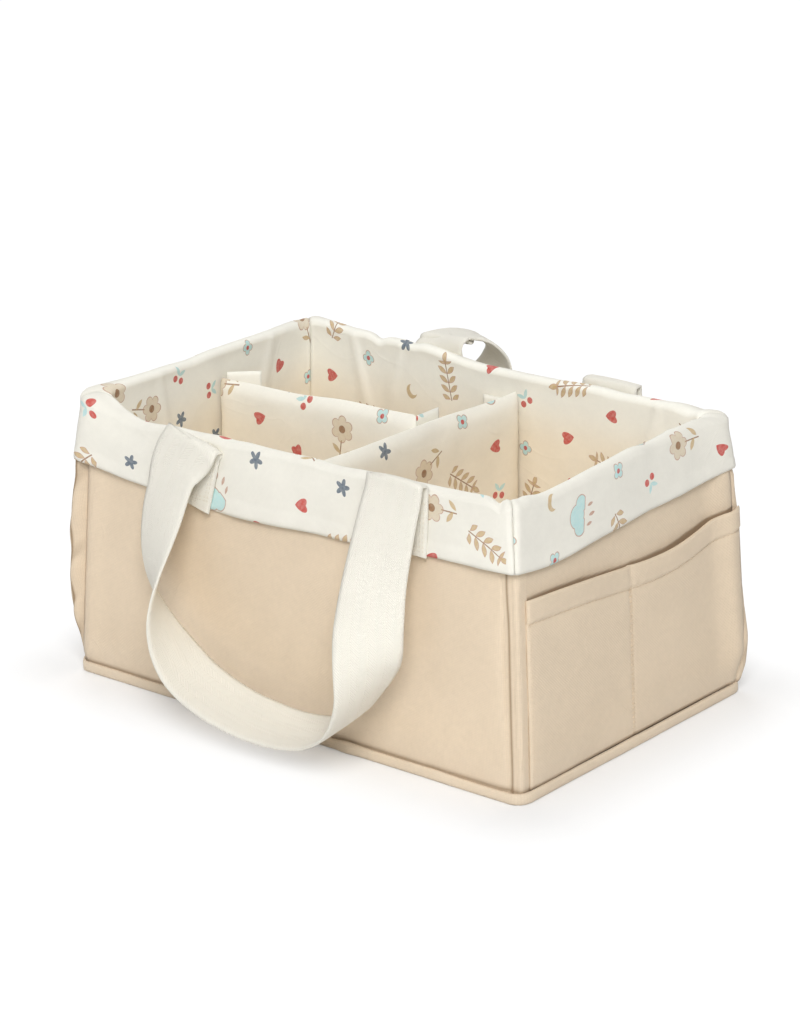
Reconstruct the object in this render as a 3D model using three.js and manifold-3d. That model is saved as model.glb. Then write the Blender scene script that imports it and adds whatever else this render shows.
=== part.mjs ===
import * as THREE from 'three';
import { mergeVertices } from 'three/addons/utils/BufferGeometryUtils.js';
import Module from 'manifold-3d';

// A soft nursery caddy: a boxy fabric basket with stiff boards in its walls, a cotton lining that folds
// out over the rim as a deep cuff, two lift-out padded dividers, a pocket on each end and two webbing handles.
// X runs along the basket, Y across it, Z up. The origin is the middle of the foot, on the ground.

const wasm = await Module();
wasm.setup();

// Driving sizes, in millimetres
const baseLength = 376;
const baseWidth = 238;
const basketHeight = 196;
const endLean = 11.5;
const sideLean = 7;

// The soft rim: how far it lies below the basket's height, in shares of the sag, along each wall from its
// left end to its right end as seen from outside. A share below 0 stands above that height.
const rimSag = 8;
const rimSagShares = {
  front: [-0.5, 1.2, 1.15, 1, 1, 1, 1, 0.9, 0.75, 0.7, 0.25],
  right: [0.25, 0.8, 0.85, 0.6, 0.45, 0.3, 0.25, 0.1, -0.1],
  back: [-0.1, 0, 0, 0.1, 0.3, 0.25, 0, -0.5, -0.4, -0.7, -0.85],
  left: [-0.85, -0.75, -0.65, -0.6, -0.6, -0.55, -0.5, -0.5, -0.5],
};

// Cloth, boards and the clearance that every sewn layer keeps to the next
const seatGap = 0.3;
const clothGauge = 1.6;
const boardGauge = 3.4;
const liningGauge = 2;
const seamInset = 0.25;

// The foot: outer base cloth, base board, lining floor and the binding rolled round them
const baseBoardGauge = 3;
const bindingWidth = 5.5;
const bindingHeight = 7;
const bindingCornerSteps = 5;
const bindingWidthShares = [0, 0.72, 0.93, 1, 0.94, 0.68, 0];
const bindingHeightShares = [0, 0, 0.18, 0.5, 0.8, 1, 0.97];

// The rounded strips that join the walls at the corners
const stripArm = 10;
const stripRadius = 6;
const stripPuff = 9;
const stripTuck = 2.5;
const stripArcSteps = 4;
const stripRoundShares = [0, 0.6, 0.88, 1, 0.88, 0.6, 0];
const stripPuffShares = [0, 0.75, 1, 0.95, 0.7, 0];
const stripHeightShares = [0, 0.05, 0.2, 0.6, 0.92, 1];

// The cuff: the lining folded out over the rim, with its hem in shares of its depth below the basket's height
const cuffDepth = 54;
const cuffDropShares = {
  front: [0.81, 0.93, 0.98, 1.05, 1.06, 1.03, 1, 0.98, 0.93, 0.9, 0.87],
  right: [0.87, 0.93, 0.92, 0.88, 0.85, 0.82, 0.79, 0.75, 0.72],
  back: [0.72, 0.8, 0.85, 0.88, 0.9, 0.9, 0.88, 0.86, 0.83, 0.8, 0.76],
  left: [0.76, 0.82, 0.85, 0.87, 0.88, 0.88, 0.86, 0.84, 0.81],
};
const rollSteps = 8;
const longStations = 20;
const endStations = 16;

// The end pockets: two on each end, parted by a seam down the middle
const mouthHeight = 130;
const mouthSag = 4;
const mouthGape = 9;
const pocketHemDepth = 19;
const pocketHemGauge = 2.4;
const pocketStations = 20;
const pocketHeightShares = [0, 0.3, 0.6, 0.84];
const pocketGapePower = 1.1;
const pocketBulgePower = 0.3;

// The padded dividers and the boards inside them
const dividerThickness = 9;
const dividerHeight = 177;
const dividerEndThickness = 7;
const dividerEndTaper = 14;
const dividerRoundSteps = 6;
const dividerFootRadius = 1.5;
const crossDividerPlace = 12;
const longDividerPlace = 7;
const coreGauge = 3;
const coreInset = 12;
const coreClearance = 0.35;
const liftClearance = 0.5;

// The end flaps of the dividers and their hook and loop tapes
const flapGauge = 1.6;
const flapWidth = 24;
const flapFoot = 30;
const flapDrop = 8.5;
const flapPeelDegrees = 45;
const tapeGauge = 1;
const tapeWidth = 18;
const tapeDrop = 31;
const tapeHeight = 70;

// The webbing handles
const strapWidth = 44;
const strapGauge = 2.4;
const legSpread = 88;
const hingeDrop = 3;
const foldGap = 0.8;
const handleDrop = 171;
const handleReach = 40;
const bottomTiltDegrees = 12;
const legSteps = 27;
const strapColumns = 4;
// The hanging route of a handle from its left end round to its right end, limp and a little uneven
const routeSpreadShares = [
  -1, -1, -1.02, -1.08, -1.04, -0.87, -0.62, -0.29, 0.06, 0.41, 0.71, 0.95, 1.1, 1.15, 1.11, 1.04, 1.02, 1, 1,
];
const routeReachShares = [
  0, 0.03, 0.08, 0.37, 0.68, 0.89, 0.99, 0.98, 0.935, 0.9, 0.905, 0.97, 1.04, 1.03, 0.87, 0.47, 0.12, 0.03, 0,
];
const routeDropShares = [
  0, 0.06, 0.165, 0.34, 0.54, 0.73, 0.875, 0.96, 1, 1.005, 0.97, 0.885, 0.755, 0.63, 0.515, 0.36, 0.195, 0.06, 0,
];
const routeTwistShares = [
  0, 0, 0.06, 0.16, 0.39, 0.69, 0.9, 0.98, 1, 1, 1.01, 1.05, 1.16, 1.38, 1.61, 1.84, 1.95, 2, 2,
];

// Colours and finishes
const colours = {
  canvas: { color: '#dcc3a3', roughness: 0.92 },
  lining: { color: '#f1ecdf', roughness: 0.9 },
  board: { color: '#b9a98c', roughness: 0.95 },
  webbing: { color: '#f0ebdc', roughness: 0.88 },
  tape: { color: '#f4f1e6', roughness: 0.97 },
};

// Depths through a wall, from its outer face inwards
const boardDepth = clothGauge + seatGap;
const liningDepth = boardDepth + boardGauge + seatGap;
const insideDepth = liningDepth + liningGauge;
const cuffOutset = seatGap + liningGauge;
const rollRadius = (insideDepth + cuffOutset) / 2;
const rollDepth = insideDepth - rollRadius;

// Heights that the layers share
const wallFoot = clothGauge + seatGap;
const boardFoot = wallFoot + baseBoardGauge + seatGap;
const floorHeight = boardFoot + liningGauge;
const pocketFoot = bindingHeight + seatGap;

// Plan half sizes at a height
const halfLength = (z) => baseLength / 2 - endLean * z / basketHeight;
const halfWidth = (z) => baseWidth / 2 - sideLean * z / basketHeight;

// A wall is drawn standing on the front, facing -Y, and turned to its place afterwards
const longWall = { reach: halfWidth, run: halfLength, stations: longStations };
const endWall = { reach: halfLength, run: halfWidth, stations: endStations };

function wallPoint(wall, across, depth, z) {
  return new THREE.Vector3(across, depth - wall.reach(z), z);
}

const halfTurn = Math.PI;
const quarterTurn = Math.PI / 2;
const front = { name: 'front', wall: longWall, turn: 0 };
const right = { name: 'right', wall: endWall, turn: quarterTurn };
const back = { name: 'back', wall: longWall, turn: halfTurn };
const left = { name: 'left', wall: endWall, turn: -quarterTurn };
const sides = [front, right, back, left];

// The value at a place along a wall of a list of shares spread evenly over it, smoothed between its entries
function shareAlong(shares, wall, across) {
  const curve = new THREE.SplineCurve(shares.map((share, i) => new THREE.Vector2(i, share)));
  return curve.getPoint((across / wall.run(0) + 1) / 2).y;
}

const rimTop = ({ name, wall }, across) => basketHeight - rimSag * shareAlong(rimSagShares[name], wall, across);
const cuffHem = ({ name, wall }, across) => basketHeight - cuffDepth * shareAlong(cuffDropShares[name], wall, across);

// The height that the straight layers of a wall stop at, below the roll of its rim
function layerTop(side) {
  const tops = spreadShares(side.wall.stations).map((share) => rimTop(side, share * side.wall.run(0)));
  return Math.min(...tops) - rollRadius;
}

function signedVolume(points, faces) {
  const cross = new THREE.Vector3();
  return faces.reduce((sum, [a, b, c]) => {
    cross.crossVectors(points[b], points[c]);
    return sum + points[a].dot(cross);
  }, 0);
}

// A closed body from points and triangles, turned inside out if its faces point inwards
function closedBody(points, faces) {
  const outwards = signedVolume(points, faces) > 0;
  const ordered = outwards ? faces : faces.map(([a, b, c]) => [a, c, b]);
  const geometry = new THREE.BufferGeometry();
  geometry.setAttribute('position', new THREE.Float32BufferAttribute(points.flatMap((p) => p.toArray()), 3));
  geometry.setIndex(ordered.flat());
  geometry.computeVertexNormals();
  return geometry;
}

// A sheet with thickness: two grids of points that face each other, joined round their edges
function sheet(faceGrid, backGrid) {
  const rows = faceGrid.length;
  const columns = faceGrid[0].length;
  const points = [...faceGrid.flat(), ...backGrid.flat()];
  const onFace = (row, column) => row * columns + column;
  const onBack = (row, column) => rows * columns + row * columns + column;
  const faces = [];
  const quad = (a, b, c, d) => faces.push([a, b, c], [a, c, d]);
  for (let row = 0; row + 1 < rows; row += 1) {
    for (let column = 0; column + 1 < columns; column += 1) {
      quad(onFace(row, column), onFace(row, column + 1), onFace(row + 1, column + 1), onFace(row + 1, column));
      quad(onBack(row, column), onBack(row + 1, column), onBack(row + 1, column + 1), onBack(row, column + 1));
    }
    quad(onFace(row, 0), onFace(row + 1, 0), onBack(row + 1, 0), onBack(row, 0));
    const last = columns - 1;
    quad(onFace(row, last), onBack(row, last), onBack(row + 1, last), onFace(row + 1, last));
  }
  for (let column = 0; column + 1 < columns; column += 1) {
    quad(onFace(0, column), onBack(0, column), onBack(0, column + 1), onFace(0, column + 1));
    const last = rows - 1;
    quad(onFace(last, column), onFace(last, column + 1), onBack(last, column + 1), onBack(last, column));
  }
  return closedBody(points, faces);
}

// A body through rings of points, capped at both ends or joined back to its first ring
function loft(rings, joined = false) {
  const around = rings[0].length;
  const points = rings.flat();
  const faces = [];
  const spans = joined ? rings.length : rings.length - 1;
  for (let ring = 0; ring < spans; ring += 1) {
    const next = (ring + 1) % rings.length;
    for (let i = 0; i < around; i += 1) {
      const j = (i + 1) % around;
      const [a, b] = [ring * around + i, ring * around + j];
      const [c, d] = [next * around + j, next * around + i];
      faces.push([a, b, c], [a, c, d]);
    }
  }
  if (!joined) {
    const last = (rings.length - 1) * around;
    for (let i = 1; i + 1 < around; i += 1) {
      faces.push([0, i + 1, i], [last, last + i, last + i + 1]);
    }
  }
  return closedBody(points, faces);
}

// Evenly spaced shares from -1 to 1, or from 0 to 1
const spreadShares = (count) => Array.from({ length: count + 1 }, (_, i) => (2 * i) / count - 1);
const unitShares = (count) => Array.from({ length: count + 1 }, (_, i) => i / count);

// Solids for joins and cuts
function solidOf(geometry) {
  const bare = geometry.clone();
  bare.deleteAttribute('normal');
  bare.deleteAttribute('uv');
  const merged = mergeVertices(bare);
  const mesh = new wasm.Mesh({
    numProp: 3,
    vertProperties: new Float32Array(merged.attributes.position.array),
    triVerts: new Uint32Array(merged.index.array),
  });
  return new wasm.Manifold(mesh);
}

function geometryOf(solid) {
  const mesh = solid.getMesh();
  const geometry = new THREE.BufferGeometry();
  geometry.setAttribute('position', new THREE.BufferAttribute(new Float32Array(mesh.vertProperties), 3));
  geometry.setIndex(new THREE.BufferAttribute(new Uint32Array(mesh.triVerts), 1));
  geometry.computeVertexNormals();
  return geometry;
}

const caddy = new THREE.Group();

function place(name, geometry, finish, turn = 0) {
  const mesh = new THREE.Mesh(geometry, new THREE.MeshStandardMaterial({ ...colours[finish], metalness: 0 }));
  mesh.name = name;
  mesh.rotation.z = turn;
  caddy.add(mesh);
  return mesh;
}

// A flat layer of a wall between two depths and two heights, its ends a set way short of the corner
function wallLayer(wall, depthNear, depthFar, low, high, endInset) {
  const grid = (depth) => [low, high].map((z) => {
    const end = wall.run(z) - endInset;
    return [wallPoint(wall, -end, depth, z), wallPoint(wall, end, depth, z)];
  });
  return sheet(grid(depthNear), grid(depthFar));
}

function outerPanel(side) {
  return wallLayer(side.wall, 0, clothGauge, wallFoot, layerTop(side), stripArm + seatGap);
}

function wallBoard(side) {
  return wallLayer(side.wall, boardDepth, boardDepth + boardGauge, boardFoot, layerTop(side), stripRadius);
}

// The lining of one wall: up the inside, over the rim in a half round roll, and down outside as the cuff
function liningWithCuff(side) {
  const { wall } = side;
  const rollCentre = (across) => rimTop(side, across) - rollRadius;
  const grid = (radius) => {
    const along = spreadShares(wall.stations);
    const mitred = (share, depth, height) => {
      const across = share * wall.run(0);
      const z = height(across);
      return wallPoint(wall, share * (wall.run(z) - depth - seamInset), depth, z);
    };
    const inside = rollDepth + radius;
    const outside = rollDepth - radius;
    const leaf = along.map((share) => mitred(share, inside, () => boardFoot));
    const roll = unitShares(rollSteps).map((share) => {
      const angle = share * halfTurn;
      const lift = radius * Math.sin(angle);
      const depth = rollDepth + radius * Math.cos(angle);
      return along.map((place_) => mitred(place_, depth, (across) => rollCentre(across) + lift));
    });
    const hem = along.map((share) => mitred(share, outside, (across) => cuffHem(side, across)));
    return [leaf, ...roll, hem];
  };
  return sheet(grid(rollRadius), grid(rollRadius - liningGauge));
}

for (const side of sides) {
  place(`${side.name}_panel`, outerPanel(side), 'canvas', side.turn);
  place(`${side.name}_board`, wallBoard(side), 'board', side.turn);
  place(`${side.name}_lining`, liningWithCuff(side), 'lining', side.turn);
}

// A corner strip: a rounded angle of cloth, sewn down along its edges, that puffs out between them below the
// cuff and lies flat under it
function cornerStrip(sideX, sideY) {
  const strandAt = (z, depth, puff) => {
    const [outX, outY] = [halfLength(z), halfWidth(z)];
    const plan = stripRoundShares.map((roundShare, i) => {
      const radius = stripRadius - depth + puff * roundShare;
      const angle = quarterTurn * (i - 1) / stripArcSteps;
      return [outX - stripRadius + radius * Math.sin(angle), outY - stripRadius + radius * Math.cos(angle)];
    });
    plan[0] = [outX - stripArm, outY - depth];
    plan[plan.length - 1] = [outX - depth, outY - stripArm];
    return plan.map(([x, y]) => new THREE.Vector3(sideX * x, sideY * y, z));
  };
  const lowestHem = Math.min(...sides.flatMap((side) => [-1, 1].map((end) => cuffHem(side, end * side.wall.run(0)))));
  const cuffEdge = lowestHem - stripTuck;
  const openLevels = stripHeightShares.map((share) => pocketFoot + share * (cuffEdge - pocketFoot));
  const levels = [wallFoot, ...openLevels, Math.min(...sides.map(layerTop))];
  const puffs = [0, ...stripPuffShares, 0];
  const faceRows = levels.map((z, i) => strandAt(z, 0, stripPuff * puffs[i]));
  const backRows = levels.map((z) => strandAt(z, clothGauge, 0));
  return sheet(faceRows, backRows);
}

place('front_left_corner_strip', cornerStrip(-1, -1), 'canvas');
place('front_right_corner_strip', cornerStrip(1, -1), 'canvas');
place('back_right_corner_strip', cornerStrip(1, 1), 'canvas');
place('back_left_corner_strip', cornerStrip(-1, 1), 'canvas');

// A rounded rectangle in plan, as a shape to extrude
function roundedPlate(halfX, halfY, radius, low, thickness) {
  const outline = new THREE.Shape();
  outline.moveTo(halfX - radius, -halfY);
  outline.absarc(halfX - radius, radius - halfY, radius, -quarterTurn, 0);
  outline.absarc(halfX - radius, halfY - radius, radius, 0, quarterTurn);
  outline.absarc(radius - halfX, halfY - radius, radius, quarterTurn, halfTurn);
  outline.absarc(radius - halfX, radius - halfY, radius, halfTurn, halfTurn + quarterTurn);
  outline.closePath();
  const plate = new THREE.ExtrudeGeometry(outline, {
    depth: thickness,
    bevelEnabled: false,
    curveSegments: bindingCornerSteps,
  });
  plate.translate(0, 0, low);
  return plate;
}

const baseInset = clothGauge + seatGap;
const baseBoardTop = wallFoot + baseBoardGauge;
const floorInset = insideDepth + seatGap;
place('base_panel', roundedPlate(
  halfLength(0) - seatGap,
  halfWidth(0) - seatGap,
  stripRadius - seatGap,
  0,
  clothGauge,
), 'canvas');
place('base_board', roundedPlate(
  halfLength(baseBoardTop) - baseInset,
  halfWidth(baseBoardTop) - baseInset,
  stripRadius,
  wallFoot,
  baseBoardGauge,
), 'board');
place('base_lining', roundedPlate(
  halfLength(floorHeight) - floorInset,
  halfWidth(floorHeight) - floorInset,
  stripRadius,
  boardFoot,
  liningGauge,
), 'lining');

// The binding: a rolled edge that runs right round the foot of the walls
function binding() {
  const corners = [[1, -1, -quarterTurn], [1, 1, 0], [-1, 1, quarterTurn], [-1, -1, halfTurn]];
  const sections = corners.flatMap(([sideX, sideY, from]) => {
    const centreX = sideX * (halfLength(0) - stripRadius);
    const centreY = sideY * (halfWidth(0) - stripRadius);
    return unitShares(bindingCornerSteps).map((share) => {
      const angle = from + share * quarterTurn;
      return bindingWidthShares.map((widthShare, i) => {
        const radius = stripRadius + seatGap + widthShare * bindingWidth;
        const z = bindingHeightShares[i] * bindingHeight;
        return new THREE.Vector3(centreX + radius * Math.cos(angle), centreY + radius * Math.sin(angle), z);
      });
    });
  });
  return loft(sections, true);
}

place('base_binding', binding(), 'canvas');

// An end pocket panel: flat at its sides, foot and middle seam, and open at its mouth on both halves
function pocketPanel() {
  const wall = endWall;
  const along = spreadShares(pocketStations);
  const mouthAt = (share) => mouthHeight - mouthSag * (1 - share * share);
  const bulgeAt = (share) => Math.abs(Math.sin(share * halfTurn)) ** pocketBulgePower;
  const row = (heightOf, backOffset, gaugeAt) => along.map((share) => {
    const z = heightOf(share);
    const climb = (z - pocketFoot) / (mouthAt(share) - pocketFoot);
    const gape = mouthGape * climb ** pocketGapePower * bulgeAt(share);
    const end = wall.run(z) - stripArm - seatGap;
    return wallPoint(wall, share * end, -(seatGap + gape + backOffset * gaugeAt), z);
  });
  const hemTop = (share) => mouthAt(share) - pocketHemDepth;
  const heights = pocketHeightShares.map((climb) => (share) => pocketFoot + climb * (hemTop(share) - pocketFoot));
  const levels = [
    ...heights.map((heightOf) => ({ heightOf, gauge: clothGauge })),
    { heightOf: hemTop, gauge: pocketHemGauge },
    { heightOf: mouthAt, gauge: pocketHemGauge },
  ];
  const face = levels.map(({ heightOf, gauge }) => row(heightOf, 1, gauge));
  const back = levels.map(({ heightOf, gauge }) => row(heightOf, 0, gauge));
  return sheet(face, back);
}

place('right_pocket', pocketPanel(), 'canvas', quarterTurn);
place('left_pocket', pocketPanel(), 'canvas', -quarterTurn);

// A padded divider, drawn along X with its foot at zero: straight faces, a round top and softer ends
function dividerPad(length) {
  const section = (x, thickness) => {
    const radius = thickness / 2;
    const top = unitShares(dividerRoundSteps).map((share) => {
      const angle = share * halfTurn;
      return [radius * Math.cos(angle), dividerHeight - radius + radius * Math.sin(angle)];
    });
    const foot = [
      [-radius, dividerFootRadius],
      [dividerFootRadius - radius, 0],
      [radius - dividerFootRadius, 0],
      [radius, dividerFootRadius],
    ];
    return [...top, ...foot].map(([y, z]) => new THREE.Vector3(x, y, z));
  };
  const half = length / 2;
  return loft([
    section(-half, dividerEndThickness),
    section(dividerEndTaper - half, dividerThickness),
    section(half - dividerEndTaper, dividerThickness),
    section(half, dividerEndThickness),
  ]);
}

// The sleeve of a divider: the pad with a slot for its board, open at the foot
function dividerCover(length) {
  const slotHeight = dividerHeight - coreInset + coreClearance;
  const slot = new THREE.BoxGeometry(
    length - 2 * coreInset + 2 * coreClearance,
    coreGauge + 2 * coreClearance,
    slotHeight + seatGap,
  );
  slot.translate(0, 0, (slotHeight - seatGap) / 2);
  return geometryOf(solidOf(dividerPad(length)).subtract(solidOf(slot)));
}

function dividerCore(length) {
  const core = new THREE.BoxGeometry(length - 2 * coreInset, coreGauge, dividerHeight - coreInset);
  core.translate(0, 0, (dividerHeight - coreInset) / 2);
  return core;
}

// An upright strip with its low corner at a point
function uprightStrip(x, y, z, sizeX, sizeY, sizeZ) {
  const strip = new THREE.BoxGeometry(sizeX, sizeY, sizeZ);
  strip.translate(x + sizeX / 2, y + sizeY / 2, z + sizeZ / 2);
  return strip;
}

const dividerFoot = floorHeight + seatGap;
const flapHeight = dividerFoot + dividerHeight - flapDrop - flapFoot;
const tapeFoot = basketHeight - tapeDrop - tapeHeight;
const insideHalfWidth = halfWidth(basketHeight) - insideDepth;
const insideHalfLength = halfLength(basketHeight) - insideDepth;
const crossHalf = insideHalfWidth - liftClearance;
const crossFace = crossDividerPlace - dividerThickness / 2;
const longStart = liftClearance - insideHalfLength;
const longEnd = crossFace - seatGap;

// The half thickness of a divider where its end flap is sewn on
const flapSeatShare = (tapeGauge + seatGap + flapGauge) / dividerEndTaper;
const flapSeat = (dividerEndThickness + (dividerThickness - dividerEndThickness) * flapSeatShare) / 2;

// The cross divider stands across the basket; the long one runs from the left end to it
function placeDivider(name, length, x, y, turn) {
  for (const [suffix, geometry, finish] of [
    ['cover', dividerCover(length), 'lining'],
    ['core', dividerCore(length), 'board'],
  ]) {
    const mesh = place(`${name}_${suffix}`, geometry, finish, turn);
    mesh.position.set(x, y, dividerFoot);
  }
}

placeDivider('cross_divider', 2 * crossHalf, crossDividerPlace, 0, quarterTurn);
placeDivider('long_divider', longEnd - longStart, (longStart + longEnd) / 2, longDividerPlace, 0);

// Each divider end has a flap behind it, with a hook tape that grips a loop tape
const tapeInset = (flapWidth - tapeWidth) / 2;
const flapFar = crossHalf - tapeGauge - seatGap;
const crossFlapX = crossDividerPlace - flapSeat - seatGap - flapWidth;
for (const [name, side] of [['front', -1], ['back', 1]]) {
  const low = (near, far) => (side > 0 ? near : -far);
  const flapLow = low(flapFar - flapGauge, flapFar);
  const hookLow = low(crossHalf - tapeGauge, crossHalf);
  place(`cross_divider_${name}_flap`, uprightStrip(
    crossFlapX, flapLow, flapFoot, flapWidth, flapGauge, flapHeight,
  ), 'lining');
  place(`cross_divider_${name}_hook_tape`, uprightStrip(
    crossFlapX + tapeInset, hookLow, tapeFoot, tapeWidth, tapeGauge, tapeHeight,
  ), 'tape');
}

// A loop tape sewn to the lining, leaning with its wall
function wallTape(wall, from) {
  const grid = (depth) => [tapeFoot, tapeFoot + tapeHeight].map((z) => [
    wallPoint(wall, from, depth, z),
    wallPoint(wall, from + tapeWidth, depth, z),
  ]);
  return sheet(grid(insideDepth + seatGap), grid(insideDepth + seatGap + tapeGauge));
}

const loopStart = crossFlapX + tapeInset;
place('front_loop_tape', wallTape(longWall, loopStart), 'tape');
place('back_loop_tape', wallTape(longWall, -loopStart - tapeWidth), 'tape', halfTurn);

const longFlapY = longDividerPlace + flapSeat + seatGap;
const longHookX = longStart;
const longFlapX = longHookX + tapeGauge + seatGap;

// The left flap hangs open: it and its tape are turned about the seam, away from the wall
function peeled(strip) {
  const seamX = longFlapX + flapGauge;
  strip.translate(-seamX, -longFlapY, 0);
  strip.rotateZ(-THREE.MathUtils.degToRad(flapPeelDegrees));
  return strip.translate(seamX, longFlapY, 0);
}

place('long_divider_left_flap', peeled(uprightStrip(
  longFlapX, longFlapY, flapFoot, flapGauge, flapWidth, flapHeight,
)), 'lining');
place('long_divider_left_hook_tape', peeled(uprightStrip(
  longHookX, longFlapY + tapeInset, tapeFoot, tapeGauge, tapeWidth, tapeHeight,
)), 'tape');
place('left_loop_tape', wallTape(endWall, -longFlapY - tapeInset - tapeWidth), 'tape', -quarterTurn);

const dividerLoopX = crossFace - seatGap - tapeGauge;
const rightHookX = dividerLoopX - seatGap - tapeGauge;
const rightFlapX = rightHookX - seatGap - flapGauge;
place('cross_divider_loop_tape', uprightStrip(
  dividerLoopX, longFlapY + tapeInset, tapeFoot, tapeGauge, tapeWidth, tapeHeight,
), 'tape');
place('long_divider_right_hook_tape', uprightStrip(
  rightHookX, longFlapY + tapeInset, tapeFoot, tapeGauge, tapeWidth, tapeHeight,
), 'tape');
place('long_divider_right_flap', uprightStrip(
  rightFlapX, longFlapY, flapFoot, flapGauge, flapWidth, flapHeight,
), 'lining');

// The sewn ends of a handle lie flat on the cuff, from its hem up to the fold at the rim
const hingeHeight = basketHeight - hingeDrop;
const tabDepth = -(cuffOutset + seatGap);
const tabOuterDepth = tabDepth - strapGauge;
const hingeReach = halfWidth(hingeHeight) - tabOuterDepth + foldGap + strapGauge / 2;

function handleEnd(side, middle) {
  const hem = cuffHem(side, middle);
  const top = hingeHeight + strapGauge / 2;
  const grid = (depth) => [hem, top].map((z) => [
    wallPoint(longWall, middle - strapWidth / 2, depth, z),
    wallPoint(longWall, middle + strapWidth / 2, depth, z),
  ]);
  return sheet(grid(tabDepth), grid(tabOuterDepth));
}

for (const [side, leftPlace] of [[front, -legSpread], [back, legSpread]]) {
  place(`${side.name}_handle_left_end`, handleEnd(side, leftPlace), 'webbing', side.turn);
  place(`${side.name}_handle_right_end`, handleEnd(side, -leftPlace), 'webbing', side.turn);
}

// The hanging loop of a handle: a flat strap that leaves the rim face out and turns on its way down,
// so that it lies flat across the bottom of the loop
function handleLoop() {
  const tilt = THREE.MathUtils.degToRad(bottomTiltDegrees);
  const route = routeDropShares.map((drop, i) => new THREE.Vector4(
    routeSpreadShares[i] * legSpread,
    -hingeReach - routeReachShares[i] * handleReach,
    hingeHeight - drop * handleDrop,
    routeTwistShares[i] * quarterTurn,
  ));
  const curve = new THREE.CatmullRomCurve3(route.map((p) => new THREE.Vector3(p.x, p.y, p.z)), false, 'centripetal');
  const twists = new THREE.SplineCurve(route.map((p, i) => new THREE.Vector2(i / (route.length - 1), p.w)));
  const grids = [[], []];
  for (const share of unitShares(2 * legSteps)) {
    const centre = curve.getPoint(share);
    const tangent = curve.getTangent(share);
    const twist = twists.getPoint(share).y;
    const across = new THREE.Vector3(
      Math.cos(twist),
      -Math.sin(twist) * Math.cos(tilt),
      -Math.sin(twist) * Math.sin(tilt),
    );
    across.addScaledVector(tangent, -across.dot(tangent)).normalize();
    const normal = new THREE.Vector3().crossVectors(across, tangent).normalize();
    [1, -1].forEach((face, side) => {
      const skin = centre.clone().addScaledVector(normal, face * strapGauge / 2);
      const row = spreadShares(strapColumns);
      grids[side].push(row.map((edge) => skin.clone().addScaledVector(across, edge * strapWidth / 2)));
    });
  }
  return sheet(grids[0], grids[1]);
}

place('front_handle_strap', handleLoop(), 'webbing');
place('back_handle_strap', handleLoop(), 'webbing', halfTurn);

export default caddy;
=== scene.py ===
# %% [markdown]
# # A soft nursery caddy
# A boxy canvas basket with a printed cotton lining that folds out over its rim, two padded dividers that lift
# out, pockets on its ends and two webbing handles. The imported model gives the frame, and the cloth that
# covers it is drawn here with the same sizes. Blender works in metres; the sizes below are in millimetres and
# are turned into metres when a mesh is made.

# %% Load the frame
import math

import bmesh
import bpy
import numpy as np
from mathutils import Matrix, Vector


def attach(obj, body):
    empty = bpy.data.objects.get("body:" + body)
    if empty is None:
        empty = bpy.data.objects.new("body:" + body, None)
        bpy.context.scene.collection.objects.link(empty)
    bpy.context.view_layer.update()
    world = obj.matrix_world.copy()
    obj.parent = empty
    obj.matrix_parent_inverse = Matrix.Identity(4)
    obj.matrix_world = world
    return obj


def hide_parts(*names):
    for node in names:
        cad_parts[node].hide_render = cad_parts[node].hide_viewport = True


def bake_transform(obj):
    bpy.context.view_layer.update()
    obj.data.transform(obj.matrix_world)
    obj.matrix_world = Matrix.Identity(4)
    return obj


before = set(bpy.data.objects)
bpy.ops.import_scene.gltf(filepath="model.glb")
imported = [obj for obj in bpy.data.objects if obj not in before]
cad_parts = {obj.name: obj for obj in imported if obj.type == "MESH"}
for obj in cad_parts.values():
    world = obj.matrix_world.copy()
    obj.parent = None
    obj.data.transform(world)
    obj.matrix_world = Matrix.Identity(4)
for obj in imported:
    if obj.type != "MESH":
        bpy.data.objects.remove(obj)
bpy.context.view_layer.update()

MM = 0.001
print("nodes in the frame:", len(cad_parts))

# %% [markdown]
# ## Camera
# The photograph was taken from the front right, a little above, with a long lens. The camera stands where a
# fit to the basket's foot and rim puts it. Its frame is taller than wide, so the sensor fit is vertical.

# %% Camera
SENSOR = 36.0  # the sensor's height in mm
FAR_CLIP = 50.0  # metres


def place_camera(azimuth, elevation, roll, target_right, target_up, distance, lens):
    """Put the camera round the object, by angles in degrees and by its target's offset and distance in mm."""
    az, el, ro = (math.radians(a) for a in (azimuth, elevation, roll))
    back = Vector((math.sin(az) * math.cos(el), -math.cos(az) * math.cos(el), math.sin(el)))
    level = Vector((math.cos(az), math.sin(az), 0))
    rise = back.cross(level)
    right = level * math.cos(ro) + rise * math.sin(ro)
    up = rise * math.cos(ro) - level * math.sin(ro)
    data = bpy.data.cameras.new("camera")
    data.sensor_fit = "VERTICAL"
    data.sensor_height = SENSOR
    data.lens = lens
    data.clip_end = FAR_CLIP
    camera = bpy.data.objects.new("camera", data)
    bpy.context.scene.collection.objects.link(camera)
    spot = (right * target_right + up * target_up + back * distance) * MM
    turn = Matrix((right, up, back)).transposed().to_4x4()
    camera.matrix_world = Matrix.Translation(spot) @ turn
    bpy.context.scene.camera = camera
    return camera


camera = place_camera(azimuth=39.231, elevation=18.867, roll=-0.57, target_right=-2.866, target_up=113.313,
                      distance=2188.8, lens=113.06)
print("camera at", [round(v, 3) for v in camera.matrix_world.translation])

# %% [markdown]
# ## Helpers for node trees
# Materials and patterns are all node trees, so small helpers that each add one node, and take sockets or
# plain numbers for its inputs, keep every pattern readable. The last two open a shader node group with named
# inputs and outputs, and place it in a material.

# %% Helpers for node trees
def joined(tree, socket, value):
    """Feed a socket from another socket, or set it to a plain value."""
    if isinstance(value, bpy.types.NodeSocket):
        tree.links.new(value, socket)
    elif value is not None:
        socket.default_value = value


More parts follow.
